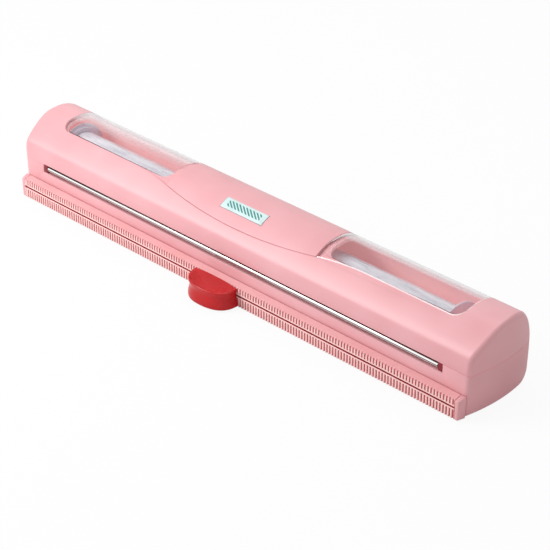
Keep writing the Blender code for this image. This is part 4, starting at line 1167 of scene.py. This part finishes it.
def makeSmallPieces(red, steel, pinSteel, rubber):
    dress("blade_carrier", red)
    dress("cutter_blade", steel)
    half, radius = hinge["half"], hinge["pinRadius"]
    profile = roundedCorner([(0, half), (radius, half), (radius, -half), (0, -half)], hinge["pinRound"])
    for side, name in sides:
        mesh = moved(turned(profile, 32), side * hinge["place"], hinge["y"], hinge["z"])
        putInPlace(f"hinge_wire_{name}", mesh, pinSteel, "base", [f"hinge_pin_{name}"])
    radius, low, ease = feet["radius"], -feet["proud"], feet["ease"]
    top, cut = feet["seat"] - gap, low + feet["grooveDepth"]
    a, b, c, d = (radius - inset for inset in feet["groove"])
    pad = [(0, top), (radius, top), (radius, low + ease), (radius - ease, low),
           (a, low), (b, cut), (c, cut), (d, low), (0, low)]
    names = ("left_front", "left_back", "right_front", "right_back")
    for name, (x, y) in zip(names, feet["places"]):
        mesh = turned(pad, 64)
        mesh.transform(Matrix.Rotation(math.radians(-90), 4, "Y"))
        putInPlace(f"pad_{name}", moved(mesh, x, y, 0), rubber, "base", [f"foot_{name}"])


# Build

pink = mouldedPolypropylene()
ribbed = ribbedPolypropylenePaintedShade()
clear = clearStyrene()
red = redPlastic("glossy_red_abs", ("#BB1217", "#C7191D"), 14, (0.18, 0.28))
darkRed = redPlastic("dark_red_acetal", ("#7A1826", "#8E2030"), 4, (0.3, 0.42))
inner = innerPolypropylenePaintedGlow()
makeBaseShell(pink, inner)
makeLidShell(pink, inner)
print("shells made")
makeLidPieces(pink, clear, paneEdgePaintedHighlight(), printedPlate())
print("lid pieces made")
makeRail(ribbed)
makeRailCaps(pink)
makeRod(chromedSteelPaintedReflection(), darkRed)
print("rail and rod made")
makeRoll(clingFilmPaintedShade(), woundBoard(), hubPlastic())
makeKnob(red)
makeSmallPieces(red, groundSteel("ground_blade_steel", "#C9C9CB", (0.18, 0.3), (0.05, 1.0, 1.0)),
                groundSteel("drawn_steel_wire", "#B9B9BC", (0.25, 0.4), (1.0, 0.1, 0.1)), padRubber())
print("roll, cutter and small pieces made")

# Studio

studio = {
    "floorSize": 8.0, "floorShade": "#F4F4F4", "floorGlow": 0.92,
    "worldShade": "#FFFFFF", "worldStrength": 0.44,
    # name: place, aim, width and height in metres, watts, colour
    "lamps": {
        "key_panel": ((-0.52, -0.56, 0.62), (-0.04, 0, 0.03), 0.55, 0.55, 6.25, "#FFFFFF"),
        "top_panel": ((-0.2, 0.5, 1.4), (0, 0, 0.03), 1.0, 0.8, 5.0, "#FFFFFF"),
    },
}


def makeFloor():
    form = bmesh.new()
    bmesh.ops.create_grid(form, x_segments=2, y_segments=2, size=studio["floorSize"] / 2)
    floor = bpy.data.objects.new("floor", takeMesh(form))
    bpy.context.scene.collection.objects.link(floor)
    made, tree, shader, _ = newMaterial("white_paper_sweep", Roughness=0.9,
                                        Base_Color=linear(studio["floorShade"]))
    # most of what the camera sees of the paper is its own white, and the rest keeps the object's shadow
    glow = addNode(tree, "Emission", None, {"Color": (1, 1, 1, 1), "Strength": 1.0})
    seen = calc(tree, "MULTIPLY", addNode(tree, "LightPath").outputs["Is Camera Ray"], studio["floorGlow"])
    mix = addNode(tree, "MixShader", None,
                  {"Fac": seen, 1: shader.outputs["BSDF"], 2: glow.outputs["Emission"]})
    tree.links.new(mix.outputs["Shader"], tree.nodes["Material Output"].inputs["Surface"])
    floor.data.materials.append(made)


def makeWorld():
    # soft light from all round, full white where it is seen straight, through the panes or mirrored
    world = bpy.data.worlds.new("studio")
    bpy.context.scene.world = world
    world.use_nodes = True
    tree = world.node_tree
    back = tree.nodes["Background"]
    back.inputs["Color"].default_value = linear(studio["worldShade"])
    path = addNode(tree, "LightPath").outputs
    seen = calc(tree, "MAXIMUM", calc(tree, "MAXIMUM", path["Is Camera Ray"], path["Is Transmission Ray"]),
                path["Is Glossy Ray"])
    strength = mapped(tree, seen, 0.0, 1.0, To_Min=studio["worldStrength"], To_Max=1.0)
    tree.links.new(strength, back.inputs["Strength"])


def makeLamps():
    for name, (place, aim, width, height, watts, shade) in studio["lamps"].items():
        lamp = bpy.data.lights.new(name, "AREA")
        lamp.shape = "RECTANGLE"
        lamp.size, lamp.size_y = width, height
        lamp.energy = watts
        lamp.color = linear(shade)[:3]
        held = bpy.data.objects.new(name, lamp)
        held.location = place
        held.rotation_euler = (Vector(aim) - Vector(place)).to_track_quat("-Z", "Y").to_euler()
        bpy.context.scene.collection.objects.link(held)


# fitted to the photograph: mm on the sensor and of the lens, metres and degrees
camera = {"sensor": 36.0, "lens": 124.6, "place": (0.71392, -0.68385, 0.56795), "turn": (60.377, 0, 45.267)}


def makeCamera():
    view = bpy.data.cameras.new("photo_view")
    view.sensor_width, view.lens = camera["sensor"], camera["lens"]
    view.clip_start, view.clip_end = 0.05, 20.0
    held = bpy.data.objects.new("photo_view", view)
    held.location = camera["place"]
    held.rotation_euler = [math.radians(angle) for angle in camera["turn"]]
    bpy.context.scene.collection.objects.link(held)
    bpy.context.scene.camera = held


makeFloor()
makeWorld()
makeLamps()
makeCamera()
bpy.data.collections.remove(bench)
bpy.context.scene.view_settings.view_transform = "Standard"
print("studio made")
